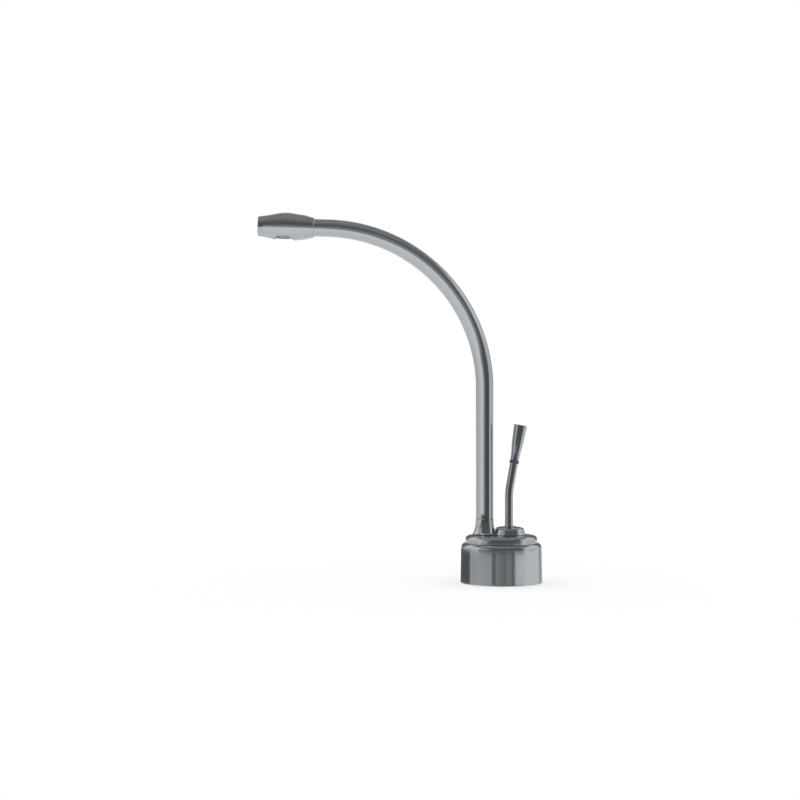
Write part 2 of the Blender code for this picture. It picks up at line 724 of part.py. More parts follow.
def thread_rings(crest_r, high, low):
    """Points down a thread's crests and roots, as rings, for as many as fit above low."""
    points = [(crest_r, high)]
    for index in range(int((high - low) / THREAD_PITCH)):
        crest_z = high - THREAD_PITCH * index
        points.append((crest_r - THREAD_DEPTH, crest_z - THREAD_PITCH / 2))
        points.append((crest_r, crest_z - THREAD_PITCH))
    return points


def make_fastening():
    gasket_hole_r = SHANK_R + SHANK_CLEARANCE
    span = (GAP, GASKET_TOP_Z)
    plain_ring("base_gasket", FLANGE_R, gasket_hole_r, span, SIDES_MEDIUM, base_axis, rubber)
    shank = [
        (SHANK_R, SHANK_TOP_Z),
        *thread_rings(SHANK_R, SHANK_TOP_Z - THREAD_LEAD, SHANK_LOW_Z + SHANK_CHAMFER),
        (SHANK_R, SHANK_LOW_Z + SHANK_CHAMFER),
        (SHANK_R - SHANK_CHAMFER, SHANK_LOW_Z),
        (SHANK_BORE_R, SHANK_LOW_Z),
        (SHANK_BORE_R, SHANK_TOP_Z),
    ]
    turned("threaded_shank", shank, SIDES_MEDIUM, base_axis, brass, ring=True)
    washer_low = -WORKTOP_THICK - DECK_WASHER_THICK
    span = (washer_low, -WORKTOP_THICK)
    plain_ring("deck_washer", DECK_WASHER_R, WASHER_HOLE_R, span, SIDES_MEDIUM, base_axis, rubber)
    clamp_low = washer_low - GAP - CLAMP_WASHER_THICK
    span = (clamp_low, washer_low - GAP)
    plain_ring("clamp_washer", CLAMP_WASHER_R, WASHER_HOLE_R, span, SIDES_MEDIUM, base_axis, steel)
    nut_high = clamp_low - GAP
    nut_low = nut_high - NUT_HEIGHT
    corner_r = corner_radius(NUT_FLATS)
    nut = prism("mounting_nut", corner_r, nut_low, nut_high, SIDES_HEX, base_axis, brass)
    chamfer = [
        (0, nut_high),
        (corner_r - NUT_CHAMFER, nut_high),
        (corner_r, nut_high - NUT_CHAMFER / 2),
        (corner_r, nut_low + NUT_CHAMFER / 2),
        (corner_r - NUT_CHAMFER, nut_low),
        (0, nut_low),
    ]
    use_boolean(nut, turned("nut_chamfer", chamfer, SIDES_MEDIUM, base_axis), "INTERSECT")
    hole_low, hole_high = nut_low - CUT_OVERRUN, nut_high + CUT_OVERRUN
    use_boolean(nut, prism("nut_hole", WASHER_HOLE_R, hole_low, hole_high, SIDES_MEDIUM, base_axis))


def make_inlet_nipple():
    flange_high = NECK_LOW_Z - GAP
    flange_low = flange_high - NIPPLE_FLANGE
    hex_high = SHANK_LOW_Z - NIPPLE_BELOW_SHANK
    hex_low = hex_high - NIPPLE_HEX_HEIGHT
    tail_low = hex_low - NIPPLE_TAIL
    profile = [
        (0, NIPPLE_TOP_Z),
        (NIPPLE_THREAD_R, NIPPLE_TOP_Z),
        (NIPPLE_THREAD_R, flange_high),
        (NIPPLE_FLANGE_R, flange_high),
        (NIPPLE_FLANGE_R, flange_low),
        (NIPPLE_STEM_R, flange_low),
        (NIPPLE_STEM_R, hex_low),
        (NIPPLE_TAIL_R, hex_low),
        (NIPPLE_TAIL_R, tail_low + NIPPLE_TAIL_CHAMFER),
        (NIPPLE_TAIL_R - NIPPLE_TAIL_CHAMFER, tail_low),
        (0, tail_low),
    ]
    nipple = turned("inlet_nipple", profile, SIDES_SMALL, lever_axis, brass)
    corner_r = corner_radius(NIPPLE_HEX_FLATS)
    hexagon = prism("nipple_hexagon", corner_r, hex_low, hex_high, SIDES_HEX, lever_axis)
    use_boolean(nipple, hexagon, "UNION")
    low, high = tail_low - CUT_OVERRUN, NIPPLE_TOP_Z + CUT_OVERRUN
    use_boolean(nipple, prism("nipple_bore", NIPPLE_BORE_R, low, high, SIDES_TINY, lever_axis))


def make_spout_bearing():
    """Bush, O-rings and clip that let the collar turn in its socket and hold it down."""
    bush_bore_r = SPIGOT_R + GAP
    bush = [
        (BUSH_FLANGE_R, CAP_TOP_Z),
        (BUSH_FLANGE_R, BUSH_FLANGE_LOW_Z),
        (SOCKET_BORE_R - GAP, BUSH_FLANGE_LOW_Z),
        (SOCKET_BORE_R - GAP, BUSH_LOW_Z),
        (bush_bore_r, BUSH_LOW_Z),
        (bush_bore_r, CAP_TOP_Z),
    ]
    turned("spout_bush", bush, SIDES_SMALL, spout_axis, white, ring=True)
    groove_r = SPIGOT_R - GROOVE_DEPTH
    major_r = groove_r + GAP + ORING_WIRE_R
    for name, (low, high) in zip(("spout_oring_lower", "spout_oring_upper"), oring_grooves()):
        seal_ring(name, major_r, ORING_WIRE_R, (low + high) / 2, spout_axis)
    clip_r, span = SOCKET_BORE_R - GAP, (CLIP_LOW_Z, CLIP_TOP_Z)
    clip = plain_ring("retaining_clip", clip_r, groove_r + GAP, span, SIDES_SMALL, spout_axis, steel)
    slit_mesh = bpy.data.meshes.new("clip_slit")
    shape = bmesh.new()
    bmesh.ops.create_cube(shape, size=1)
    size = (SOCKET_BORE_R, CLIP_SLIT, CLIP_HEIGHT + 2 * CUT_OVERRUN)
    bmesh.ops.scale(shape, vec=size, verts=shape.verts)
    centre = (SOCKET_BORE_R / 2, 0, (CLIP_LOW_Z + CLIP_TOP_Z) / 2)
    bmesh.ops.translate(shape, vec=centre, verts=shape.verts)
    shape.to_mesh(slit_mesh)
    shape.free()
    use_boolean(clip, place("clip_slit", slit_mesh, spout_axis))


def oring_grooves():
    lowest = SPIGOT_LOW_Z + SPIGOT_END_LAND
    lows = [lowest + GROOVE_SPACING * index for index in range(ORING_COUNT)]
    return [(low, low + GROOVE_HEIGHT) for low in lows]


def make_spout_collar():
    groove_r = SPIGOT_R - GROOVE_DEPTH
    flare = []
    for step in range(COLLAR_STEPS + 1):
        share = step / COLLAR_STEPS
        radius = COLLAR_TOP_R + (COLLAR_FOOT_R - COLLAR_TOP_R) * share**COLLAR_FLARE_POWER
        flare.append((radius, COLLAR_TOP_Z - COLLAR_HEIGHT * share))
    tenon_r = TUBE_BORE_R - GAP
    tenon_top = COLLAR_TOP_Z + COLLAR_TENON
    grooves = [*oring_grooves(), (CLIP_LOW_Z - GAP, CLIP_TOP_Z + GAP)]
    spigot = [(SPIGOT_R, SEATING_Z)]
    for low, high in reversed(grooves):
        spigot += [(SPIGOT_R, high), (groove_r, high), (groove_r, low), (SPIGOT_R, low)]
    spigot.append((SPIGOT_R, SPIGOT_LOW_Z))
    profile = [
        (tenon_r, tenon_top),
        (tenon_r, COLLAR_TOP_Z),
        *flare,
        *spigot,
        (SPIGOT_BORE_R, SPIGOT_LOW_Z),
        (SPIGOT_BORE_R, tenon_top),
    ]
    turned("spout_collar", profile, SIDES_MEDIUM, spout_axis, nickel, ring=True)


def spout_route(overrun):
    """The tube's centre line: straight up, round the arc, and on into the nozzle."""
    route = [Vector((0, 0, TUBE_LOW_Z - overrun))]
    for step in range(ARC_STEPS + 1):
        turn = ARC_TURN * step / ARC_STEPS
        route.append(
            Vector((-ARC_R * (1 - math.cos(turn)), 0, ARC_START_Z + ARC_R * math.sin(turn)))
        )
    heading = Vector((-math.sin(ARC_TURN), 0, math.cos(ARC_TURN)))
    nozzle_start = route[-1] + heading * NOZZLE_LEAD
    route.append(nozzle_start + heading * (NOZZLE_SOCKET - GAP + overrun))
    return route, nozzle_start, heading


def make_spout_tube():
    route = spout_route(0)[0]
    tube = swept("spout_tube", route, [TUBE_R] * len(route), TUBE_BEVEL_RESOLUTION, spout_axis, nickel)
    bore_route = spout_route(CUT_OVERRUN)[0]
    radii = [TUBE_BORE_R] * len(bore_route)
    use_boolean(tube, swept("tube_bore", bore_route, radii, TUBE_BORE_BEVEL_RESOLUTION, spout_axis))


def make_nozzle():
    outer = smooth_through(
        [(NOZZLE_R * r_share, NOZZLE_LENGTH * z_share) for z_share, r_share in NOZZLE_PROFILE_SHARES],
        NOZZLE_STEPS_PER_SPAN,
    )
    tip_r = outer[-1][0]
    profile = [
        (0, NOZZLE_LENGTH),
        (tip_r - NOZZLE_TIP_EDGE, NOZZLE_LENGTH),
        (tip_r, NOZZLE_LENGTH - NOZZLE_TIP_EDGE),
        *reversed(outer[:-1]),
        (TUBE_R + GAP, 0),
        (TUBE_R + GAP, NOZZLE_SOCKET),
        (0, NOZZLE_SOCKET),
    ]
    nozzle = turned("nozzle_body", profile, SIDES_MEDIUM, spout_axis, nickel)
    nozzle.location = nozzle_start
    nozzle.rotation_euler = (0, -ARC_TURN, 0)

    spotface_z = outlet.z - SPOTFACE_DROP
    aerator_low = spotface_z - AERATOR_PROUD
    aerator_top = aerator_low + AERATOR_HEIGHT
    washer_low = aerator_top + GAP
    washer_top = washer_low + AERATOR_WASHER_THICK
    bore_top = washer_top + GAP
    below = outlet.z - NOZZLE_R - CUT_OVERRUN
    low, high = NOZZLE_SOCKET - CUT_OVERRUN, NOZZLE_LENGTH * OUTLET_SHARE
    passage = prism("nozzle_passage", NOZZLE_PASSAGE_R, low, high, SIDES_TINY, spout_axis)
    passage.location = nozzle.location
    passage.rotation_euler = nozzle.rotation_euler
    for cutter in (
        prism("outlet_spotface", SPOTFACE_R, below, spotface_z, SIDES_MEDIUM, outlet_axis),
        prism("outlet_bore", AERATOR_R + GAP, below, bore_top, SIDES_MEDIUM, outlet_axis),
        passage,
    ):
        use_boolean(nozzle, cutter)

    sleeve_r = AERATOR_R - AERATOR_WALL
    screen_low = aerator_low + AERATOR_LIP + GAP
    housing = [
        (AERATOR_R, aerator_top),
        (AERATOR_R, aerator_low),
        (sleeve_r - AERATOR_LIP, aerator_low),
        (sleeve_r - AERATOR_LIP, aerator_low + AERATOR_LIP),
        (sleeve_r, aerator_low + AERATOR_LIP),
        (sleeve_r, aerator_top),
    ]
    turned("aerator_housing", housing, SIDES_MEDIUM, outlet_axis, dark_steel, ring=True)
    screen_top = screen_low + SCREEN_THICK
    screen_r = sleeve_r - GAP
    screen = prism("aerator_screen", screen_r, screen_low, screen_top, SIDES_SMALL, outlet_axis, white)
    low, high = screen_low - CUT_OVERRUN, screen_top + CUT_OVERRUN
    for count, ring_r in SCREEN_RINGS:
        for index in range(count):
            turn = 2 * math.pi * index / count
            name = f"screen_hole_{count}_{index}"
            hole = prism(name, SCREEN_HOLE_R, low, high, SCREEN_HOLE_SIDES, outlet_axis)
            hole.location = (ring_r * math.cos(turn), ring_r * math.sin(turn), 0)
            use_boolean(screen, hole)
    span = (washer_low, washer_top)
    hole_r = AERATOR_WASHER_HOLE_R
    plain_ring("aerator_washer", AERATOR_R, hole_r, span, SIDES_SMALL, outlet_axis, rubber)


def settle_modifiers():
    """Makes each part's modifiers its mesh, shaded smooth with its edges kept crisp."""
    bpy.context.view_layer.update()
    graph = bpy.context.evaluated_depsgraph_get()
    solids = [obj for obj in parts.objects if obj.type == "MESH"]
    meshes = [bpy.data.meshes.new_from_object(obj.evaluated_get(graph)) for obj in solids]
    for obj, mesh in zip(solids, meshes):
        obj.modifiers.clear()
        obj.data = mesh
        mesh.name = obj.name
        mesh.shade_smooth()
        mesh.set_sharp_from_angle(angle=SMOOTH_ANGLE)


clear_scene()
parts = new_collection("cold_water_dispenser")
cutters = new_collection("cutters")
nickel = new_material("brushed_nickel", (0.56, 0.56, 0.55), 0.32, 1.0)
brass = new_material("brass", (0.70, 0.52, 0.26), 0.38, 1.0)
steel = new_material("stainless_steel", (0.60, 0.60, 0.60), 0.30, 1.0)
dark_steel = new_material("dark_plated_brass", (0.12, 0.12, 0.13), 0.35, 1.0)
rubber = new_material("black_rubber", (0.03, 0.03, 0.03), 0.85, 0.0)
white = new_material("white_acetal", (0.82, 0.82, 0.80), 0.45, 0.0)
blue = new_material("blue_plastic", (0.05, 0.06, 0.16), 0.40, 0.0)

base_axis = new_axis("base_axis")
spout_axis = new_axis("spout_axis", SPOUT_X)
nozzle_start, heading = spout_route(0)[1:]
outlet = nozzle_start + heading * NOZZLE_LENGTH * OUTLET_SHARE
outlet_axis = new_axis("outlet_axis", SPOUT_X + outlet.x)
lever_axis = new_axis("lever_axis", LEVER_X)
pivot_axis = new_axis("pivot_axis", LEVER_X, PIVOT_Z)

make_base_shell()
make_cap_plate()
make_turret_cap()
make_pin("pivot_pin", PIN_R, -GAP, steel)
make_lever()
make_valve_body()
make_valve()
make_return_spring()
make_fastening()
make_inlet_nipple()
make_spout_bearing()
make_spout_collar()
make_spout_tube()
make_nozzle()
settle_modifiers()
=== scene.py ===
import math

import bmesh
import bpy
from mathutils import Matrix, Vector


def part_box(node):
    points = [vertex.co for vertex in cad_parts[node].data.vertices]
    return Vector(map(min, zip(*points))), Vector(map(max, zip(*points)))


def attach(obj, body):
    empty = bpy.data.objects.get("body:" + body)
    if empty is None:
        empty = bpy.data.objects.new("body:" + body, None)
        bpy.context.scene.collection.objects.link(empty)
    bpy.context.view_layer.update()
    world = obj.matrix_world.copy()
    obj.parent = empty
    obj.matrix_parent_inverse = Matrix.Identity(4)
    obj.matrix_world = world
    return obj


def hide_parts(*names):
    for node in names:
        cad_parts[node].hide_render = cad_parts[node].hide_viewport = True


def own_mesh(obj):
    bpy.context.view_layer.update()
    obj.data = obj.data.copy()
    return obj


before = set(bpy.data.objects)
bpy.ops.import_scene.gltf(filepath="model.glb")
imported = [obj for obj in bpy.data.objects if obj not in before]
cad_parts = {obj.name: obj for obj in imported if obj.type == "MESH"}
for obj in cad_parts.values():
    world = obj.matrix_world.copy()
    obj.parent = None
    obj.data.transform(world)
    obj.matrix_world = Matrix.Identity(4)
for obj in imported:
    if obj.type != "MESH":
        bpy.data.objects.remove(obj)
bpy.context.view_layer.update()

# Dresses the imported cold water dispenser. Metres, +Z up, spout along -X, lever on the +X side.
print("scene: frame loaded with", len(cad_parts), "nodes")


class Signal:  # one socket, so that node maths reads as plain Python
    def __init__(self, graph, socket):
        self.graph = graph
        self.socket = socket

    def maths(self, operation, *others):
        return self.graph.maths(operation, self, *others)

    def __add__(self, other):
        return self.maths("ADD", other)

    def __sub__(self, other):
        return self.maths("SUBTRACT", other)

    def __rsub__(self, other):
        return self.graph.maths("SUBTRACT", other, self)

    def __mul__(self, other):
        return self.maths("MULTIPLY", other)

    def __truediv__(self, other):
        return self.maths("DIVIDE", other)

    def __neg__(self):
        return self.maths("MULTIPLY", -1.0)

    __radd__ = __add__
    __rmul__ = __mul__

    def step(self, low, high):  # rises smoothly from 0 at low to 1 at high
        values = {"Value": self, "From Min": low, "From Max": high}
        return self.graph.add("ShaderNodeMapRange", {"interpolation_type": "SMOOTHSTEP"}, values)


class Graph:  # the nodes of a material, the world or a geometry recipe
    def __init__(self, tree):
        self.tree = tree

    def add(self, kind, settings=None, values=None, out=0):
        node = self.tree.nodes.new(kind)
        for name, value in (settings or {}).items():
            setattr(node, name, value)
        for name, value in (values or {}).items():
            self.feed(node, name, value)
        if len(node.outputs):
            return Signal(self, node.outputs[out])

    def feed(self, node, name, value):
        if isinstance(name, int):
            socket = node.inputs[name]
        else:
            socket = next(one for one in node.inputs if one.name == name and one.enabled)
        if isinstance(value, Signal):
            self.tree.links.new(value.socket, socket)
        elif socket.type == "RGBA":
            socket.default_value = (*value, 1)
        else:
            socket.default_value = value

    def maths(self, operation, *values):
        return self.add("ShaderNodeMath", {"operation": operation}, dict(enumerate(values)))

    def objectPlace(self):
        return self.add("ShaderNodeTexCoord", None, None, out=3)  # Object

    def output(self, shader):
        self.add("ShaderNodeOutputMaterial", None, {"Surface": shader})

    def surface(self, values, bump):  # closes a material
        values["Normal"] = self.add("ShaderNodeBump", None, bump)
        self.output(self.add("ShaderNodeBsdfPrincipled", None, values))

    def emission(self, colour, strength=1.0):
        return self.add("ShaderNodeEmission", None, {"Color": colour, "Strength": strength})

    def vector(self, x=0.0, y=0.0, z=0.0):
        return self.add("ShaderNodeCombineXYZ", None, {"X": x, "Y": y, "Z": z})

    def split(self, vector):
        first = self.add("ShaderNodeSeparateXYZ", None, {0: vector})
        return [Signal(self, socket) for socket in first.socket.node.outputs]

    def mixColour(self, factor, first, second):
        settings = {"data_type": "RGBA"}
        return self.add("ShaderNodeMix", settings, {0: factor, 6: first, 7: second}, out=2)

    def noise(self, vector, scale=1.0, detail=2.0):
        return self.add("ShaderNodeTexNoise", None, {"Vector": vector, "Scale": scale, "Detail": detail})


def newMaterial(name):
    material = bpy.data.materials.new(name)
    material.use_nodes = True
    material.node_tree.nodes.clear()
    return material, Graph(material.node_tree)


def reach(x, y):  # distance from the upright axis
    return (x * x + y * y).maths("SQRT")


nickelLook = {
    "darkTone": (0.410, 0.430, 0.444), "lightTone": (0.462, 0.484, 0.502), "edgeLighterTone": (0.62, 0.64, 0.66),
    "roughness": 0.17, "roughnessSwing": 0.10, "smudgeSwing": 0.10, "edgePolish": 0.04,
    "grainPitch": 0.00024, "grainLength": 0.009, "grainDepth": 0.000012, "grainStrength": 0.16,
    "coarseGrain": 0.23, "smudgeSize": 0.020, "edgeFrom": 0.53, "edgeTo": 0.62, "edgeLighterShare": 0.20,
}


# the brush marks run round the piece, about the axis that place and turn give
def brushedNickel(name, place=(0, 0, 0), turn=(0, 0, 0), followsTube=False):
    look = nickelLook
    material, graph = newMaterial("brushedNickel_" + name)
    here = graph.objectPlace()
    if followsTube:
        across = graph.add("ShaderNodeAttribute", {"attribute_name": "alongTube"}, None, out=2)
        spot = graph.add("ShaderNodeAttribute", {"attribute_name": "ringSpot"}, None, out=1)
        sideX, sideY, _ = graph.split(spot)
    else:
        settings = {"vector_type": "TEXTURE"}
        values = {"Vector": here, "Location": place, "Rotation": turn}
        sideX, sideY, up = graph.split(graph.add("ShaderNodeMapping", settings, values))
        across = reach(sideX, sideY) - up
    stretch = 1 / look["grainLength"]
    grainSpot = graph.vector(across / look["grainPitch"], sideX * stretch, sideY * stretch)
    grain = graph.noise(grainSpot, 1.0, 3.0)
    coarse = graph.noise(grainSpot, look["coarseGrain"], 2.0)
    smudge = graph.noise(here, 1 / look["smudgeSize"], 3.0)
    pointed = graph.add("ShaderNodeNewGeometry", None, None, out=7)  # Pointiness
    # sharp convex edges get a lighter base colour and a little less roughness
    edgeMask = pointed.step(look["edgeFrom"], look["edgeTo"])
    tone = graph.mixColour(grain * 0.5 + coarse * 0.5, look["darkTone"], look["lightTone"])
    edgeLightened = graph.mixColour(edgeMask * look["edgeLighterShare"], tone, look["edgeLighterTone"])
    roughness = look["roughness"] + (grain - 0.5) * look["roughnessSwing"] + (smudge - 0.5) * look["smudgeSwing"]
    graph.surface(
        {"Base Color": edgeLightened, "Metallic": 1.0, "Roughness": roughness - edgeMask * look["edgePolish"]},
        {"Strength": look["grainStrength"], "Distance": look["grainDepth"], "Height": grain + coarse},
    )
    return material


# darker and lighter tone, metallic, roughness and its swing, grain size and depth, and whether it was turned
otherLooks = {
    "brass": ((0.60, 0.43, 0.19), (0.76, 0.58, 0.30), 1.0, 0.30, 0.18, 0.0016, 0.00002, True),
    "stainlessSteel": ((0.52, 0.52, 0.53), (0.64, 0.64, 0.64), 1.0, 0.26, 0.14, 0.0012, 0.00001, True),
    "darkPlating": ((0.24, 0.245, 0.25), (0.36, 0.365, 0.37), 1.0, 0.30, 0.12, 0.0010, 0.00001, True),
    "blackRubber": ((0.022, 0.022, 0.023), (0.042, 0.042, 0.043), 0.0, 0.78, 0.20, 0.0006, 0.00004, False),
    "whiteAcetal": ((0.76, 0.76, 0.74), (0.84, 0.84, 0.82), 0.0, 0.42, 0.12, 0.0009, 0.00001, False),
    "bluePlastic": ((0.044, 0.048, 0.078), (0.058, 0.063, 0.104), 0.0, 0.38, 0.12, 0.0008, 0.00001, False),
}
plainGrain = {"roundScale": 90.0, "upScale": 4, "patchScale": 140.0, "patchSwing": 0.08, "strength": 0.35}


def plainFinish(name):
    dark, light, metallic, rough, swing, size, depth, turned = otherLooks[name]
    material, graph = newMaterial(name)
    here = graph.objectPlace()
    if turned:  # lathe marks run round upright pieces
        x, y, z = graph.split(here)
        scale, up = plainGrain["roundScale"], z / size * plainGrain["upScale"]
        fine = graph.noise(graph.vector(x * scale, y * scale, up), 1.0, 2.0)
    else:
        fine = graph.noise(here, 1 / size, 4.0)
    patch = graph.noise(here, plainGrain["patchScale"], 3.0)
    tone = graph.mixColour(fine * 0.5 + patch * 0.5, dark, light)
    roughness = rough + (fine - 0.5) * swing + (patch - 0.5) * plainGrain["patchSwing"]
    graph.surface(
        {"Base Color": tone, "Metallic": metallic, "Roughness": roughness},
        {"Strength": plainGrain["strength"], "Distance": depth, "Height": fine},
    )
    return material


sharpAngle = math.radians(32)
fineEdge = 0.0002  # a broken edge
hair = 0.00001  # a step that keeps an edge crisp
cutMargin = 0.001  # how far a cutter reaches past what it cuts


def rounded(points, closed=False, steps=4):  # (radius, height) or (radius, height, fillet) points
    most, hold = 0.4, 1.4  # share of an edge that a round may take; where the flat beside it is held
    made = []
    for index, point in enumerate(points):
        here = Vector(point[:2])
        atEnd = not closed and index in (0, len(points) - 1)
        if len(point) < 3 or atEnd:
            made.append(here)
            continue
        before = Vector(points[index - 1][:2]) - here
        after = Vector(points[(index + 1) % len(points)][:2]) - here
        run = point[2] / math.tan(before.angle(after) / 2)
        run = min(run, before.length * most, after.length * most)
        start = here + before.normalized() * run
        end = here + after.normalized() * run
        made.append(here + before.normalized() * run * hold)
        for step in range(steps + 1):
            t = step / steps
            made.append(start * (1 - t) ** 2 + here * 2 * t * (1 - t) + end * t**2)
        made.append(here + after.normalized() * run * hold)
    return [tuple(point) for point in made]


def smoothThrough(points, steps=6):
    ends = [points[0], *points, points[-1]]
    made = []
    for before, start, end, after in zip(ends, ends[1:], ends[2:], ends[3:]):
        for step in range(steps):
            t = step / steps
            made.append(
                tuple(
                    b + t * (c - a) / 2 + t * t * (a - 2.5 * b + 2 * c - d / 2)
                    + t * t * t * (1.5 * (b - c) + (d - a) / 2)
                    for a, b, c, d in zip(before, start, end, after)
                )
            )
    return [*made, points[-1]]


def upright(x=0.0, z=0.0):
    return Matrix.Translation((x, 0, z))


def smoothFaces(mesh):
    mesh.shade_smooth()
    mesh.set_sharp_from_angle(angle=sharpAngle)


def newPiece(name, shape, material, matrix=None):
    if matrix:
        bmesh.ops.transform(shape, matrix=matrix, verts=shape.verts)
    bmesh.ops.recalc_face_normals(shape, faces=shape.faces)
    mesh = bpy.data.meshes.new(name)
    shape.to_mesh(mesh)
    shape.free()
    if material:
        mesh.materials.append(material)
    smoothFaces(mesh)
    piece = bpy.data.objects.new(name, mesh)
    bpy.context.scene.collection.objects.link(piece)
    return piece


def bridge(shape, rings, closed):  # joins each ring of points to the next
    pairs = list(zip(rings, rings[1:]))
    if closed:
        pairs.append((rings[-1], rings[0]))
    for one, two in pairs:
        sides = max(len(one), len(two))
        for index in range(sides):
            after = (index + 1) % sides
            if len(one) == 1:
                shape.faces.new((one[0], two[index], two[after]))
            elif len(two) == 1:
                shape.faces.new((one[index], two[0], one[after]))
            else:
                shape.faces.new((one[index], two[index], two[after], one[after]))


def lathe(name, profile, material=None, matrix=None, sides=144, closed=False):
    shape = bmesh.new()
    turns = [(math.cos(2 * math.pi * k / sides), math.sin(2 * math.pi * k / sides)) for k in range(sides)]
    rings = []
    for radius, height in profile:
        if radius < 1e-7:
            rings.append([shape.verts.new((0, 0, height))])
        else:
            rings.append([shape.verts.new((radius * c, radius * s, height)) for c, s in turns])
    bridge(shape, rings, closed)
    return newPiece(name, shape, material, matrix)


def sweep(name, path, radii, material, matrix=None, sides=48):  # a rod along a path in the XZ plane
    shape = bmesh.new()
    rings = []
    for index, (point, radius) in enumerate(zip(path, radii)):
        ahead = path[min(index + 1, len(path) - 1)]
        behind = path[max(index - 1, 0)]
        heading = (ahead - behind).normalized()
        side = Vector((heading.z, 0, -heading.x))
        ring = []
        for k in range(sides):
            turn = 2 * math.pi * k / sides
            across = side * math.cos(turn) + Vector((0, 1, 0)) * math.sin(turn)
            ring.append(shape.verts.new(point + across * radius))
        rings.append(ring)
    rings.insert(0, [shape.verts.new(path[0])])
    rings.append([shape.verts.new(path[-1])])
    bridge(shape, rings, False)
    return newPiece(name, shape, material, matrix)


def prism(name, outline, low, high, matrix=None):  # an upright bar on an outline of (x, y) points
    shape = bmesh.new()
    floorRing = [shape.verts.new((x, y, low)) for x, y in outline]
    topRing = [shape.verts.new((x, y, high)) for x, y in outline]
    bridge(shape, [floorRing, topRing], False)
    shape.faces.new(floorRing)
    shape.faces.new(topRing)
    return newPiece(name, shape, None, matrix)


def circle(radius, sides=96, x=0.0):
    turns = [2 * math.pi * k / sides for k in range(sides)]
    return [(x + radius * math.cos(turn), radius * math.sin(turn)) for turn in turns]


def hexBar(name, flats, low, high, place=None):
    return prism(name, circle(flats / 2 / math.cos(math.pi / 6), 6), low, high, place)


def flatRing(name, material, outer, hole, low, high, edge, place=None, sides=120):
    band = [(outer, high, edge), (outer, low, edge), (hole, low, edge), (hole, high, edge)]
    return lathe(name, rounded(band, closed=True), material, place, sides, True)


def quarterTurn(steps):  # angles from straight up down to level
    return [math.pi / 2 * (1 - k / steps) for k in range(steps + 1)]


def bakeMesh(piece):  # makes the modifiers' result the piece's own mesh
    bpy.context.view_layer.update()
    graph = bpy.context.evaluated_depsgraph_get()
    mesh = bpy.data.meshes.new_from_object(piece.evaluated_get(graph))
    piece.modifiers.clear()
    piece.data = mesh
    mesh.name = piece.name
    smoothFaces(mesh)


def carve(piece, *cutters, operation="DIFFERENCE"):
    for cutter in cutters:
        modifier = piece.modifiers.new(cutter.name, "BOOLEAN")
        modifier.operation = operation
        modifier.object = cutter
    bakeMesh(piece)
    for cutter in cutters:
        bpy.data.objects.remove(cutter)


class Recipe(Graph):  # a geometry tree with named inputs
    def __init__(self, name, inputs):
        super().__init__(bpy.data.node_groups.new(name, "GeometryNodeTree"))
        face = self.tree.interface
        face.new_socket("Geometry", in_out="INPUT", socket_type="NodeSocketGeometry")
        for label, value in inputs.items():
            kind = "NodeSocketInt" if isinstance(value, int) else "NodeSocketFloat"
            face.new_socket(label, in_out="INPUT", socket_type=kind).default_value = value
        face.new_socket("Geometry", in_out="OUTPUT", socket_type="NodeSocketGeometry")
        self.entry = self.tree.nodes.new("NodeGroupInput")

    def read(self, label):
        return Signal(self, self.entry.outputs[label])

    def join(self, *parts):
        node = self.tree.nodes.new("GeometryNodeJoinGeometry")
        for part in parts:
            self.tree.links.new(part.socket, node.inputs[0])
        return Signal(self, node.outputs[0])

    def finish(self, geometry, material):
        whole = self.add("GeometryNodeRealizeInstances", None, {"Geometry": geometry})
        painted = self.add("GeometryNodeSetMaterial", None, {"Geometry": whole, "Material": material})
        leave = self.tree.nodes.new("NodeGroupOutput")
        self.tree.links.new(painted.socket, leave.inputs[0])


def grow(name, recipe, values, piece=None):  # runs a recipe and keeps its result as a plain mesh
    if piece is None:
        piece = bpy.data.objects.new(name, bpy.data.meshes.new(name))
        bpy.context.scene.collection.objects.link(piece)
    modifier = piece.modifiers.new("recipe", "NODES")
    modifier.node_group = recipe.tree
    for item in recipe.tree.interface.items_tree:
        if item.in_out == "INPUT" and item.name in values:
            modifier[item.identifier] = values[item.name]
    bakeMesh(piece)
    return piece


def settle(piece, body, slot, *nodes):
    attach(piece, body)
    if nodes:
        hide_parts(*nodes)


# the axes that several pieces share
axes = {"spoutX": -0.0115, "leverX": 0.0053, "pivotZ": 0.0313, "seatingZ": 0.0331}
gap = 0.0003
leverAxis, spoutAxis = upright(axes["leverX"]), upright(axes["spoutX"])
leverPivot = upright(axes["leverX"], axes["pivotZ"])
pinReach = 0.0095  # half the length of a hole for the lever's axle


def axleCutter(name, radius):
    across = leverPivot @ Matrix.Rotation(math.pi / 2, 4, "X")
    return prism(name, circle(radius, 32), -pinReach, pinReach, across)


# base: shell, stepped cap plate and the turret that carries the lever
shell = {
    "footR": 0.0281, "topR": 0.0277, "innerR": 0.0259, "wallHigh": 0.0240, "top": 0.0272,
    "shoulderRun": 0.0026, "holeR": 0.0223, "web": 0.0020, "wall": 0.0022, "footEdge": 0.0003,
    "footBand": 0.0008, "taper": 0.0001, "taperHigh": 0.0190, "innerEdge": 0.0008,
}


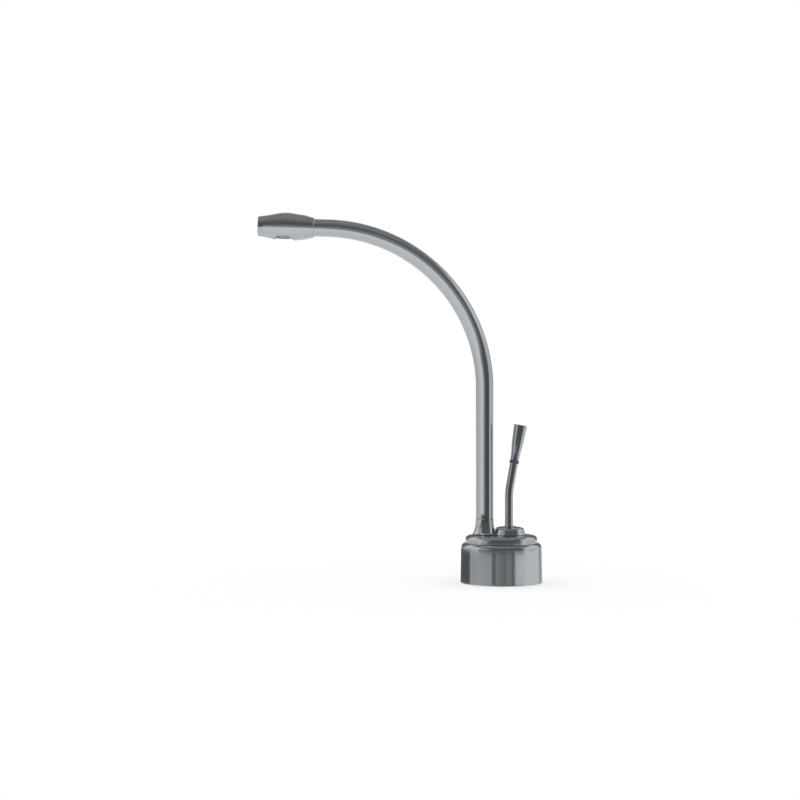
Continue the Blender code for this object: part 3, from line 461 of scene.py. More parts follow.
def makeShell():
    footR, topR, holeR, top = (shell[size] for size in ("footR", "topR", "holeR", "top"))
    lowWeb = top - shell["web"]
    profile = [(holeR, top - fineEdge), (holeR + fineEdge, top)]
    for a in quarterTurn(14):
        height = shell["wallHigh"] + (top - shell["wallHigh"]) * math.sin(a)
        profile.append((topR - shell["shoulderRun"] * (1 - math.cos(a)), height))
    profile += [(topR + shell["taper"], shell["taperHigh"]), (footR - hair, shell["footBand"])]
    profile += rounded(
        [
            (footR, shell["footBand"] - fineEdge),
            (footR, 0, shell["footEdge"]),
            (shell["innerR"], 0, fineEdge),
            (topR - shell["wall"], lowWeb, shell["innerEdge"]),
            (holeR, lowWeb),
        ]
    )
    piece = lathe("baseShell", profile, brushedNickel("shell"), sides=192, closed=True)
    settle(piece, "base", "brushed_nickel", "base_shell")


capPlate = {
    "outerR": 0.0248, "low": 0.02735, "top": 0.0328, "ceiling": 0.0293, "skirtR": 0.0220, "skirtLow": 0.0255,
    "recessR": 0.0200, "edgeR": 0.0028, "fall": 0.0003, "lowBand": 0.0008, "lowEdge": 0.0001,
    "crownRun": 0.0022, "crown": ((1.6, 0.0), (1.0, 0.00001), (0.4, 0.00016)),  # share of the run, fall
    "turretHoleR": 0.0088, "spoutHoleR": 0.0063, "bushR": 0.0073, "bushLow": 0.0316,
}


def makeCapPlate():
    plate = capPlate
    outerR, low, top, ceiling = (plate[size] for size in ("outerR", "low", "top", "ceiling"))
    edgeX = outerR - plate["edgeR"]
    edgeZ = top - plate["fall"] - plate["edgeR"]
    profile = [(0, top), *[(edgeX - plate["crownRun"] * share, top - fall) for share, fall in plate["crown"]]]
    profile += [(edgeX + plate["edgeR"] * math.cos(a), edgeZ + plate["edgeR"] * math.sin(a)) for a in quarterTurn(12)]
    profile += rounded(
        [
            (outerR, low + plate["lowBand"]), (outerR, low, plate["lowEdge"]), (plate["skirtR"], low),
            (plate["skirtR"], plate["skirtLow"], fineEdge), (plate["recessR"], plate["skirtLow"], fineEdge),
            (plate["recessR"], ceiling), (0, ceiling),
        ]
    )
    piece = lathe("capPlate", profile, brushedNickel("capPlate"), sides=192)
    under, above = ceiling - cutMargin, top + cutMargin
    carve(
        piece,
        prism("turretHole", circle(plate["turretHoleR"]), under, above, leverAxis),
        prism("spoutHole", circle(plate["spoutHoleR"]), under, above, spoutAxis),
        prism("bushSeat", circle(plate["bushR"]), plate["bushLow"], above, spoutAxis),
    )
    settle(piece, "base", "brushed_nickel", "cap_plate")


turret = {
    "footR": 0.0112, "height": 0.0058, "skin": 0.0012, "spigotR": 0.0085, "cavityR": 0.0065,
    "spigotLow": 0.0185, "ceilingEdge": 0.0015, "innerEdge": 0.0005, "footLift": 0.0001,
    "pinHoleR": 0.0015, "slotR": 0.00327, "slotTravel": 0.002766, "reliefR": 0.0088,
    "shape": ((0.0, 1.0), (0.20, 0.990), (0.45, 0.934), (0.62, 0.888), (0.76, 0.826), (0.86, 0.74),
              (0.92, 0.60), (0.945, 0.42), (0.965, 0.26), (0.98, 0.14), (0.995, 0.05)),
}


def makeTurret():
    seat = axes["seatingZ"]
    footR, spigotR, cavityR, low = (turret[size] for size in ("footR", "spigotR", "cavityR", "spigotLow"))
    inset, edge = turret["ceilingEdge"], turret["innerEdge"]
    top = seat + turret["height"]
    ceiling = top - turret["skin"]
    profile = smoothThrough([(footR * r, seat + turret["height"] * z) for r, z in turret["shape"]], 4)
    profile += rounded(
        [
            (footR, seat + turret["footLift"]), (footR, seat), (spigotR, seat), (spigotR, low), (cavityR, low),
            (cavityR, ceiling - inset, edge), (cavityR - inset, ceiling, edge), (0, ceiling),
        ]
    )
    finish = brushedNickel("turret", (axes["leverX"], 0, 0))
    piece = lathe("turretCap", profile, finish, leverAxis, sides=160)
    halfTurn = [math.pi * k / 24 for k in range(25)]
    radius, travel = turret["slotR"], turret["slotTravel"]
    outline = [(travel + radius * math.sin(a), -radius * math.cos(a)) for a in halfTurn]
    outline += [(-radius * math.sin(a), radius * math.cos(a)) for a in halfTurn]
    carve(
        piece,
        prism("turretSlot", outline, ceiling - cutMargin, top + cutMargin, leverAxis),
        prism("turretRelief", circle(turret["reliefR"]), seat - cutMargin, top + cutMargin, spoutAxis),
        axleCutter("turretPinHole", turret["pinHoleR"]),
    )
    settle(piece, "base", "brushed_nickel", "turret_cap")


# lever: hub, bent rod, index ring and cone grip, all placed from the pivot
lever = {
    "hubR": 0.0061, "footR": 0.0044, "footDrop": 0.0052, "neckR": 0.00287, "neckTop": 0.0123, "neckBand": 0.002,
    "tenonDepth": 0.0045, "tenonR": 0.0017, "pinBoreR": 0.0015, "rodR": 0.0028, "rodEdge": 0.00018,
    "rodFoot": 0.005, "straight": 0.0136, "bendR": 0.055, "lean": math.radians(9.9), "leanLength": 0.0148,
    "ringR": 0.00318, "ringHeight": 0.0026, "ringEdge": 0.0003, "gripTenonR": 0.0019, "gripTenonDepth": 0.0120,
    "gripLength": 0.0242, "gripR": 0.00452, "gripEdge": 0.0005,
    "gripDish": ((0.0, 0.00025), (0.45, 0.00018)),  # share of the radius, dip
    "gripShape": ((0.0, 0.655), (0.14, 0.685), (0.43, 0.845), (0.70, 0.925), (1.0, 1.0)),
}


def makeLever():
    place = tuple(leverPivot.translation)
    neckTop, neckR, hubR = lever["neckTop"], lever["neckR"], lever["hubR"]
    boreFloor = neckTop - lever["tenonDepth"]
    boreR = lever["tenonR"] + gap
    start = math.acos(neckR / hubR)
    end = -math.acos(lever["footR"] / hubR)
    ball = [start + (end - start) * k / 24 for k in range(25)]
    profile = [(0, boreFloor), (boreR, boreFloor), (boreR, neckTop - fineEdge)]
    profile += rounded(
        [(boreR + fineEdge, neckTop), (neckR, neckTop, fineEdge), (neckR, neckTop - lever["neckBand"])]
    )
    profile += [(hubR * math.cos(a), hubR * math.sin(a)) for a in ball]
    profile += [(lever["footR"] - fineEdge, -lever["footDrop"]), (0, -lever["footDrop"])]
    hub = lathe("leverHub", profile, brushedNickel("leverHub", place), leverPivot, sides=96)
    carve(hub, axleCutter("hubPinBore", lever["pinBoreR"]))
    settle(hub, "lever", "brushed_nickel", "lever_hub")

    rodLow = neckTop + gap
    bendZ = rodLow + lever["straight"]
    bendR, lean, edge = lever["bendR"], lever["lean"], lever["rodEdge"]
    turns = [lean * k / 16 for k in range(17)]
    bend = [Vector((bendR * (1 - math.cos(a)), 0, bendZ + bendR * math.sin(a))) for a in turns]
    up, heading = Vector((0, 0, 1)), Vector((math.sin(lean), 0, math.cos(lean)))
    rodTop = bend[-1] + heading * lever["leanLength"]
    ringLow = rodTop + heading * gap
    gripLow = ringLow + heading * (lever["ringHeight"] + gap)
    tenonTop = gripLow + heading * lever["gripTenonDepth"]
    shoulder = up * rodLow
    rod, tenon, gripTenon = lever["rodR"], lever["tenonR"], lever["gripTenonR"]
    stations = [
        (up * (boreFloor + gap), tenon), (shoulder - up * hair * 2, tenon), (shoulder - up * hair, rod - edge),
        (shoulder + up * edge * 0.3, rod - edge * 0.3), (shoulder + up * edge, rod), (shoulder + up * edge * 2, rod),
        (shoulder + up * lever["rodFoot"], rod),
        *[(point, rod) for point in bend],
        (rodTop - heading * edge * 2, rod), (rodTop - heading * edge, rod),
        (rodTop - heading * edge * 0.3, rod - edge * 0.3), (rodTop - heading * hair, rod - edge),
        (rodTop + heading * hair, gripTenon), (tenonTop, gripTenon),
    ]
    finish = brushedNickel("leverRod", place)
    bar = sweep("leverRod", [p for p, _ in stations], [r for _, r in stations], finish, leverPivot)
    settle(bar, "lever", "brushed_nickel", "lever_rod")

    def along(point):  # a place on the leaning part
        return leverPivot @ Matrix.Translation(point) @ Matrix.Rotation(lean, 4, "Y")

    ringR, holeR, high, edge = lever["ringR"], gripTenon + gap, lever["ringHeight"], lever["ringEdge"]
    band = rounded([(ringR, high, edge), (ringR, 0, edge), (holeR, 0), (holeR, high)], closed=True)
    ring = lathe("indexRing", band, plainFinish("bluePlastic"), along(ringLow), 64, True)
    settle(ring, "lever", "blue_plastic", "index_ring")

    topR, length, holeTop = lever["gripR"], lever["gripLength"], lever["gripTenonDepth"] + gap
    side = smoothThrough([(topR * r, length * z) for z, r in lever["gripShape"]], 6)[:-1]
    dish = [(topR * r, length - dip) for r, dip in lever["gripDish"]]
    profile = rounded([*dish, (topR, length, lever["gripEdge"]), side[-1]], steps=6)
    profile += [*reversed(side[1:-1]), (side[0][0], fineEdge), (side[0][0] - fineEdge, 0)]
    profile += [(holeR, 0), (holeR, holeTop), (0, holeTop)]
    turned = along(gripLow)
    finish = brushedNickel("leverGrip", tuple(turned.translation), (0, lean, 0))
    grip = lathe("leverGrip", profile, finish, turned, sides=80)
    settle(grip, "lever", "brushed_nickel", "lever_grip")


# spout: collar, gooseneck tube, nozzle and its outlet
collar = {
    "footR": 0.0084, "topR": 0.00625, "height": 0.0109, "flarePower": 3.0, "tenonR": 0.0047, "tenon": 0.0080,
    "spigotR": 0.0049, "grooveR": 0.0041, "boreR": 0.0030, "spigotLow": 0.0117, "chamfer": 0.0003,
    "rim": ((0.00025, 0.0), (0.00006, 0.0001), (0.0, 0.00035)),  # in and down from the top edge
    "hem": ((0.00002, 0.00025), (0.0002, 0.0)),  # in and up from the foot's edge
    "grooves": ((0.0206, 0.0225), (0.01705, 0.01935), (0.01355, 0.01585)),
}


def makeCollar():
    footR, topR, tenonR, spigotR = (collar[size] for size in ("footR", "topR", "tenonR", "spigotR"))
    height, grooveR, boreR, low = (collar[size] for size in ("height", "grooveR", "boreR", "spigotLow"))
    seat, chamfer = axes["seatingZ"], collar["chamfer"]
    top = seat + height
    tenonTop = top + collar["tenon"]
    profile = [(tenonR - chamfer, tenonTop), (tenonR, tenonTop - chamfer), (tenonR, top)]
    profile += [(topR - inward, top - down) for inward, down in collar["rim"]]
    for share in (k / 24 for k in range(1, 24)):
        profile.append((topR + (footR - topR) * share ** collar["flarePower"], top - height * share))
    profile += [(footR - inward, seat + lift) for inward, lift in collar["hem"]]
    profile.append((spigotR, seat))
    for under, over in collar["grooves"]:
        profile += [(spigotR, over), (grooveR, over), (grooveR, under), (spigotR, under)]
    profile += [(spigotR, low + chamfer), (spigotR - chamfer, low), (boreR, low), (boreR, tenonTop)]
    finish = brushedNickel("collar", (axes["spoutX"], 0, 0))
    piece = lathe("spoutCollar", profile, finish, spoutAxis, sides=144, closed=True)
    settle(piece, "spout", "brushed_nickel", "spout_collar")


tube = {
    "Low": 0.0443, "Rise": 0.0891, "Arc Radius": 0.1110, "Arc Turn": math.radians(88.4), "Lead": 0.0178,
    "Outer Radius": 0.0060, "Bore Radius": 0.0050, "Overrun": 0.001, "Stations": 420, "Sides": 64,
}


def tubeRecipe(material):
    recipe = Recipe("gooseneckTube", tube)
    read = recipe.read
    rise, arcR, arcTurn = read("Rise"), read("Arc Radius"), read("Arc Turn")
    arcLength = arcR * arcTurn
    whole = rise + arcLength + read("Lead")

    def mark(geometry, name, kind, value):
        values = {"Geometry": geometry, "Name": name, "Value": value}
        return recipe.add("GeometryNodeStoreNamedAttribute", {"data_type": kind, "domain": "POINT"}, values)

    def run(overrun, radius):
        values = {"Start": recipe.vector(z=-overrun), "End": recipe.vector(z=whole + overrun)}
        line = recipe.add("GeometryNodeCurvePrimitiveLine", None, values)
        line = recipe.add("GeometryNodeResampleCurve", None, {"Curve": line, "Count": read("Stations")})
        along = recipe.split(recipe.add("GeometryNodeInputPosition"))[2]
        line = mark(line, "alongTube", "FLOAT", along)
        climb = along.maths("MINIMUM", rise)
        onArc = (along - rise).maths("MINIMUM", arcLength).maths("MAXIMUM", 0.0)
        beyond = (along - rise - arcLength).maths("MAXIMUM", 0.0)
        turn = onArc / arcR
        x = -(arcR * (1 - turn.maths("COSINE"))) - beyond * arcTurn.maths("SINE")
        z = climb + arcR * turn.maths("SINE") + beyond * arcTurn.maths("COSINE")
        path = recipe.add("GeometryNodeSetPosition", None, {"Geometry": line, "Position": recipe.vector(x, 0.0, z)})
        ring = recipe.add("GeometryNodeCurvePrimitiveCircle", None, {"Resolution": read("Sides"), "Radius": radius})
        ring = mark(ring, "ringSpot", "FLOAT_VECTOR", recipe.add("GeometryNodeInputPosition"))
        values = {"Curve": path, "Profile Curve": ring, "Fill Caps": True}
        return recipe.add("GeometryNodeCurveToMesh", None, values)

    body = run(0.0, read("Outer Radius"))
    bore = run(read("Overrun"), read("Bore Radius"))
    hollow = recipe.add("GeometryNodeMeshBoolean", {"operation": "DIFFERENCE"}, {"Mesh 1": body, "Mesh 2": bore})
    foot = recipe.vector(axes["spoutX"], 0.0, read("Low"))
    placed = recipe.add("GeometryNodeTransform", None, {"Geometry": hollow, "Translation": foot})
    recipe.finish(placed, material)
    return recipe


def makeTube():
    piece = grow("spoutTube", tubeRecipe(brushedNickel("tube", followsTube=True)), tube)
    settle(piece, "spout", "brushed_nickel", "spout_tube")


nozzle = {
    "lead": 0.0098, "length": 0.0386, "radius": 0.0099, "socket": 0.0083, "socketR": 0.0063, "passageR": 0.0035,
    "tipEdge": 0.0006, "socketEdge": 0.0001, "outletShare": 0.53, "spotfaceDrop": 0.0067, "spotfaceR": 0.0075,
    "shape": ((0.0, 0.655), (0.012, 0.69), (0.04, 0.718), (0.17, 0.85), (0.29, 0.905), (0.40, 0.97), (0.50, 1.0),
              (0.60, 0.965), (0.72, 0.875), (0.85, 0.77), (1.0, 0.685)),
}
aerator = {
    "radius": 0.0066, "proud": 0.0011, "height": 0.0066, "wall": 0.0014, "lip": 0.0008, "rimEdge": 0.0003,
    "lipEdge": 0.0001, "screenThick": 0.0030, "holeR": 0.00055, "rings": ((6, 0.0019), (12, 0.0038)),
    "washerThick": 0.0016, "washerHoleR": 0.0045, "washerEdge": 0.0003,
}


def nozzlePlace():  # where the nozzle starts, and which way it points
    turn, arcR = tube["Arc Turn"], tube["Arc Radius"]
    heading = Vector((-math.sin(turn), 0, math.cos(turn)))
    arcX = axes["spoutX"] - arcR * (1 - math.cos(turn))
    arcZ = tube["Low"] + tube["Rise"] + arcR * math.sin(turn)
    return Vector((arcX, 0, arcZ)) + heading * nozzle["lead"], heading


def outletPlace():  # where the outlet's axis meets the nozzle's, and the aerator's low end
    start, heading = nozzlePlace()
    outlet = start + heading * nozzle["length"] * nozzle["outletShare"]
    return outlet, outlet.z - nozzle["spotfaceDrop"] - aerator["proud"]


def makeNozzle():
    start, _ = nozzlePlace()
    outlet, low = outletPlace()
    turned = Matrix.Translation(start) @ Matrix.Rotation(-tube["Arc Turn"], 4, "Y")
    length, socket, socketR = nozzle["length"], nozzle["socket"], nozzle["socketR"]
    outer = smoothThrough([(nozzle["radius"] * r, length * z) for z, r in nozzle["shape"]], 7)
    profile = rounded([(0, length), (outer[-1][0], length, nozzle["tipEdge"]), outer[-3]], steps=6)[:-1]
    profile += [*reversed(outer[1:-3])]
    mouth = [(outer[0][0], 0, fineEdge), (socketR, 0, nozzle["socketEdge"]), (socketR, socket)]
    profile += [*rounded([outer[1], *mouth])[1:], (0, socket)]
    finish = brushedNickel("nozzle", tuple(start), (0, -tube["Arc Turn"], 0))
    piece = lathe("nozzleBody", profile, finish, turned, sides=144)
    boreTop = low + aerator["height"] + aerator["washerThick"] + gap * 2
    below = outlet.z - nozzle["radius"] - cutMargin
    place, passage = upright(outlet.x), circle(nozzle["passageR"], 48)
    carve(
        piece,
        prism("spotface", circle(nozzle["spotfaceR"]), below, low + aerator["proud"], place),
        prism("outletBore", circle(aerator["radius"] + gap), below, boreTop, place),
        prism("nozzlePassage", passage, socket - cutMargin, length * nozzle["outletShare"], turned),
    )
    settle(piece, "spout", "brushed_nickel", "nozzle_body")


def makeAerator():
    outlet, low = outletPlace()
    radius, top, wall, lip = (aerator[size] for size in ("radius", "height", "wall", "lip"))
    sleeve = radius - wall
    housing = [
        (radius, top, fineEdge), (radius, 0, aerator["rimEdge"]), (sleeve - lip, 0, fineEdge),
        (sleeve - lip, lip, aerator["lipEdge"]), (sleeve, lip), (sleeve, top, fineEdge),
    ]
    place = upright(outlet.x, low)
    ring = lathe("aeratorHousing", rounded(housing, closed=True), plainFinish("darkPlating"), place, 96, True)
    settle(ring, "spout", "dark_plating", "aerator_housing")

    values = {"Radius": sleeve - gap, "Thickness": aerator["screenThick"], "Hole Radius": aerator["holeR"]}
    values |= {"Place X": outlet.x, "Place Z": low + lip + gap}
    screen = grow("aeratorScreen", screenRecipe(plainFinish("whiteAcetal"), values), values)
    settle(screen, "spout", "white_acetal", "aerator_screen")

    place = upright(outlet.x, low + top + gap)
    sizes = (radius, aerator["washerHoleR"], 0, aerator["washerThick"], aerator["washerEdge"])
    washer = flatRing("aeratorWasher", rubber, *sizes, place, 72)
    settle(washer, "spout", "rubber", "aerator_washer")


def screenRecipe(material, values):
    recipe = Recipe("perforatedScreen", values)
    read = recipe.read
    thick = read("Thickness")
    sizes = {"Vertices": 72, "Radius": read("Radius"), "Depth": thick}
    disc = recipe.add("GeometryNodeMeshCylinder", None, sizes)
    sizes = {"Vertices": 16, "Radius": read("Hole Radius"), "Depth": thick * 2}
    hole = recipe.add("GeometryNodeMeshCylinder", None, sizes)
    spots = [recipe.add("GeometryNodeMeshLine", None, {"Count": 1})]
    for count, radius in aerator["rings"]:
        spots.append(recipe.add("GeometryNodeMeshCircle", None, {"Vertices": count, "Radius": radius}))
    values = {"Points": recipe.join(*spots), "Instance": hole}
    holes = recipe.add("GeometryNodeInstanceOnPoints", None, values)
    holes = recipe.add("GeometryNodeRealizeInstances", None, {"Geometry": holes})
    pierced = recipe.add("GeometryNodeMeshBoolean", {"operation": "DIFFERENCE"}, {"Mesh 1": disc, "Mesh 2": holes})
    place = recipe.vector(read("Place X"), 0.0, read("Place Z") + thick / 2)
    recipe.finish(recipe.add("GeometryNodeTransform", None, {"Geometry": pierced, "Translation": place}), material)
    return recipe


# below the worktop: threaded shank, washers, nut and the inlet
threadDefaults = {
    "Axis X": 0.0, "Crest Radius": 0.0150, "Pitch": 0.0020, "Depth": 0.0010, "Low": -0.0460, "High": -0.0080,
    "Run Out": 0.0012, "Skin": 0.00005,
}


def threadRecipe(name, material):  # sinks a helical groove into a finely ringed wall
    recipe = Recipe(name, threadDefaults)
    read = recipe.read
    x, y, z = recipe.split(recipe.add("GeometryNodeInputPosition"))
    side = x - read("Axis X")
    radius = reach(side, y)
    phase = (z / read("Pitch") - y.maths("ARCTAN2", side) / (2 * math.pi)).maths("FRACT")
    groove = (1 - (phase - 0.5).maths("ABSOLUTE") * 2).step(0.08, 0.92)  # narrow flats on crest and root
    fromLow = ((z - read("Low")) / read("Run Out")).step(0.0, 1.0)
    fromHigh = ((read("High") - z) / read("Run Out")).step(0.0, 1.0)
    outside = radius.maths("GREATER_THAN", read("Crest Radius") - read("Skin"))
    inward = groove * fromLow.maths("MINIMUM", fromHigh) * outside * read("Depth") / radius
    offset = recipe.vector(-(side * inward), -(y * inward), 0.0)
    values = {"Geometry": read("Geometry"), "Offset": offset}
    recipe.finish(recipe.add("GeometryNodeSetPosition", None, values), material)
    return recipe


fastening = {
    "shankR": 0.0150, "shankBoreR": 0.0120, "shankTop": 0.0015, "shankLow": -0.0485, "chamfer": 0.0012,
    "topEdge": 0.0003, "nutFlats": 0.0360, "nutHoleR": 0.0153, "nutLow": -0.0411, "nutHigh": -0.0331,
    "nutChamfer": 0.0012, "nutSink": 0.0008,
    # outer radius, hole, low, high, edge
    "baseGasket": (0.0252, 0.0156, gap, 0.0015, 0.0003), "deckWasher": (0.0225, 0.0153, -0.0310, -0.0280, 0.0005),
    "clampWasher": (0.0220, 0.0153, -0.0328, -0.0313, 0.0002),
}


def makeFastening():
    parts = fastening
    outerR, boreR, low, high = parts["shankR"], parts["shankBoreR"], parts["shankLow"], parts["shankTop"]
    chamfer, edge, count = parts["chamfer"], parts["topEdge"], 210
    wall = [high - (high - low - chamfer) * k / count for k in range(count + 1)]
    wall[0] -= edge
    profile = [(outerR - edge, high), *[(outerR, z) for z in wall]]
    profile += [(outerR - chamfer, low), (boreR, low), (boreR, high)]
    shank = lathe("threadedShank", profile, brass, None, 144, True)
    grow("threadedShank", threadRecipe("shankThread", brass), threadDefaults, shank)
    settle(shank, "base", "brass", "threaded_shank")

    settle(flatRing("baseGasket", rubber, *parts["baseGasket"]), "base", "rubber", "base_gasket")
    settle(flatRing("deckWasher", rubber, *parts["deckWasher"]), "base", "rubber", "deck_washer")
    settle(flatRing("clampWasher", steel, *parts["clampWasher"]), "base", "stainless_steel", "clamp_washer")

    low, high, chamfer, holeR = parts["nutLow"], parts["nutHigh"], parts["nutChamfer"], parts["nutHoleR"]
    cornerR = parts["nutFlats"] / 2 / math.cos(math.pi / 6)
    profile = [(0, high), (cornerR - chamfer, high), (cornerR, high - chamfer / 2)]
    profile += [(cornerR, low + chamfer / 2), (cornerR - chamfer, low), (0, low)]
    nut = lathe("mountingNut", profile, brass, None, 144)
    under, over, sink = low - cutMargin, high + cutMargin, parts["nutSink"]
    carve(nut, hexBar("nutHexagon", parts["nutFlats"], under, over), operation="INTERSECT")
    wideR = holeR + sink + cutMargin
    hole = [(0, over), (wideR, over), (holeR, high - sink), (holeR, low + sink), (wideR, under), (0, under)]
    carve(nut, lathe("nutHole", hole, None, None, 144))
    settle(nut, "base", "brass", "mounting_nut")


nipple = {
    "threadR": 0.0043, "top": -0.0004, "topEdge": 0.0003, "flangeR": 0.0060, "flangeHigh": -0.0081,
    "flangeLow": -0.0101, "stemR": 0.0046, "boreR": 0.0026, "hexFlats": 0.0130, "hexHigh": -0.0520,
    "hexLow": -0.0570, "tailR": 0.00476, "tailLow": -0.0680, "tailChamfer": 0.0006,
    "thread": {"Pitch": 0.0013, "Depth": 0.0006, "High": -0.0585, "Run Out": 0.0008},
}


def makeNipple():
    parts = nipple
    top, hexLow, tailR, tailLow = (parts[size] for size in ("top", "hexLow", "tailR", "tailLow"))
    flangeR, high, low = parts["flangeR"], parts["flangeHigh"], parts["flangeLow"]
    chamfer, count = parts["tailChamfer"], 80
    wall = [hexLow - (hexLow - tailLow - chamfer) * k / count for k in range(count + 1)]
    profile = rounded(
        [
            (0, top), (parts["threadR"], top, parts["topEdge"]), (parts["threadR"], high),
            (flangeR, high, fineEdge), (flangeR, low, fineEdge), (parts["stemR"], low), (parts["stemR"], hexLow),
        ]
    )
    profile += [*[(tailR, z) for z in wall], (tailR - chamfer, tailLow), (0, tailLow)]
    piece = lathe("inletNipple", profile, brass, leverAxis, 96)
    carve(piece, hexBar("nippleHexagon", parts["hexFlats"], hexLow, parts["hexHigh"], leverAxis), operation="UNION")
    bore = circle(parts["boreR"], 48)
    carve(piece, prism("nippleBore", bore, tailLow - cutMargin, top + cutMargin, leverAxis))
    values = threadDefaults | parts["thread"]
    values |= {"Axis X": axes["leverX"], "Crest Radius": tailR, "Low": tailLow + fineEdge}
    grow("inletNipple", threadRecipe("inletThread", brass), values, piece)
    settle(piece, "base", "brass", "inlet_nipple")


# the coil that closes the valve; the real one shortens as the stem goes down, this one keeps one length
spring = {"Radius": 0.0036, "Wire Radius": 0.0004, "Turns": 3.5, "Length": 0.0056}


def springRecipe(material):
    recipe = Recipe("coilSpring", spring)
    read = recipe.read
    radius, wire, length = read("Radius"), read("Wire Radius"), read("Length")
    values = {"Resolution": 40, "Rotations": read("Turns"), "Start Radius": radius, "End Radius": radius}
    coil = recipe.add("GeometryNodeCurveSpiral", None, values | {"Height": length - wire * 2})
    section = recipe.add("GeometryNodeCurvePrimitiveCircle", None, {"Resolution": 16, "Radius": wire})
    values = {"Curve": coil, "Profile Curve": section, "Fill Caps": True}
    recipe.finish(recipe.add("GeometryNodeCurveToMesh", None, values), material)
    return recipe


def makeSpring():
    piece = grow("returnSpring", springRecipe(steel), spring)
    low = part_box("return_spring")[0][2]
    piece.data.transform(upright(axes["leverX"], low + spring["Wire Radius"]))
    settle(piece, "base", "stainless_steel", "return_spring")
    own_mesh(piece)


def dressInnerNodes():  # what stays as solids gets its finish
    finishes = (
        (brass, ("valve_body", "valve_seat", "gland_nut", "poppet_nut")),
        (steel, ("pivot_pin", "retaining_clip", "valve_stem")),
        (rubber, ("stem_oring", "spout_oring_lower", "spout_oring_upper", "poppet_washer")),
        (acetal, ("spout_bush",)),
    )
    for finish, nodes in finishes:
        for node in nodes:
            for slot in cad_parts[node].material_slots:
                slot.material = finish


# stage: pale floor, cards and ribbons that only the metal shows, painted world, camera
stage = {
    "floorR": 0.60, "floorDrop": 0.0001, "floorTone": 0.93, "fadeFrom": 0.20, "fadeTo": 0.55, "litShare": 0.55,
    "roomLevel": 0.95, "viewTurn": math.radians(-3.4), "cardSteps": 8,
    "ribbonAhead": 0.0168, "ribbonLeft": -0.0200, "ribbonLow": 0.0019, "ribbonSteps": 90,
    "ribbonTone": 1.06, "ribbonSoftTone": 0.36, "cameraAt": (-0.0699, -1.19, 0.1258), "lens": 77.6,
}
# upright cards in front of round metal of a radius; each has from and to in degrees round it, and a tone
cardSets = {
    "baseCard": {
        "radius": 0.0283, "ahead": 0.066, "ends": (-0.006, 0.0200),
        "cards": ((-90, -49.5, 0.14), (-47.5, -38, 0.56), (-38, -26, 0.60), (-26, -13.2, 0.57), (-11.6, -8.2, 0.20),
                  (-7.8, -4, 0.40), (-4, 2, 0.32), (2, 7, 0.26), (7, 14.8, 0.36), (15.6, 18.8, 0.20),
                  (19.6, 34, 0.88), (34, 66, 0.97), (67, 90, 0.50)),
    },
    "ringCard": {"radius": 0.0248, "ahead": 0.068, "ends": (0.0205, 0.0250), "cards": ((-34, 33, 0.20),)},
}
# the light ribbon in front of the spout: degrees round the arc, right edge of its bright part and of its soft part
ribbonEdges = (
    (0, -0.0044, 0.0015), (11, -0.0040, 0.0020), (19, 0.0008, 0.0086), (30, 0.0012, 0.0108), (50, 0.0014, 0.0112),
    (60, 0.0002, 0.0096), (70, -0.0028, 0.0064), (80, -0.0037, 0.0042), (88.4, -0.0038, 0.0042),
    (90, -0.0020, 0.0020),
)


def glowMaterial(name, tone):
    material, graph = newMaterial(name)
    graph.output(graph.emission((tone, tone * 1.01, tone * 1.02)))  # a touch cool
    material.cycles.emission_sampling = "NONE"
    return material


def reflectedCard(name, rows, tone):  # a strip between rows of points that only metal shows
    shape = bmesh.new()
    grid = [[shape.verts.new(point) for point in row] for row in rows]
    for one, two in zip(grid, grid[1:]):
        for a, b, c, d in zip(one, one[1:], two[1:], two):
            shape.faces.new((a, b, c, d))
    card = newPiece(name, shape, glowMaterial(name + "Tone", tone))
    for ray in ("camera", "diffuse", "transmission", "volume_scatter", "shadow"):
        setattr(card, "visible_" + ray, False)


def makeFloor():
    material, graph = newMaterial("paleFloor")
    x, y, _ = graph.split(graph.objectPlace())
    fade = reach(x, y).step(stage["fadeFrom"], stage["fadeTo"])
    share, tone = stage["litShare"], stage["floorTone"]
    bright = (1 - share * tone * stage["roomLevel"]) / (1 - share)  # so that lit and glow together come to white
    lit = graph.add("ShaderNodeBsdfDiffuse", None, {"Color": (tone, tone, tone)})
    seen = graph.add("ShaderNodeMixShader", None, {0: 1 - share, 1: lit, 2: graph.emission((1, 1, 1), bright)})
    graph.output(graph.add("ShaderNodeMixShader", None, {0: fade, 1: seen, 2: graph.emission((1, 1, 1))}))
    material.cycles.emission_sampling = "NONE"
    shape = bmesh.new()
    bmesh.ops.create_circle(shape, cap_ends=True, segments=96, radius=stage["floorR"])
    bmesh.ops.translate(shape, vec=(0, 0, -stage["floorDrop"]), verts=shape.verts)
    floor = newPiece("floor", shape, material)
    floor.visible_glossy = False  # the world is as white below it


def fanRows(cardSet, start, end):  # a card's corners, out along the sight lines that round metal reflects
    def level(turn):
        return Vector((math.sin(turn + stage["viewTurn"]), -math.cos(turn + stage["viewTurn"]), 0))

    rows = []
    for k in range(stage["cardSteps"] + 1):
        turn = math.radians(start + (end - start) * k / stage["cardSteps"])
        corner = level(turn) * cardSet["radius"] + level(2 * turn) * cardSet["ahead"]
        rows.append([corner + Vector((0, 0, height)) for height in cardSet["ends"]])
    return rows


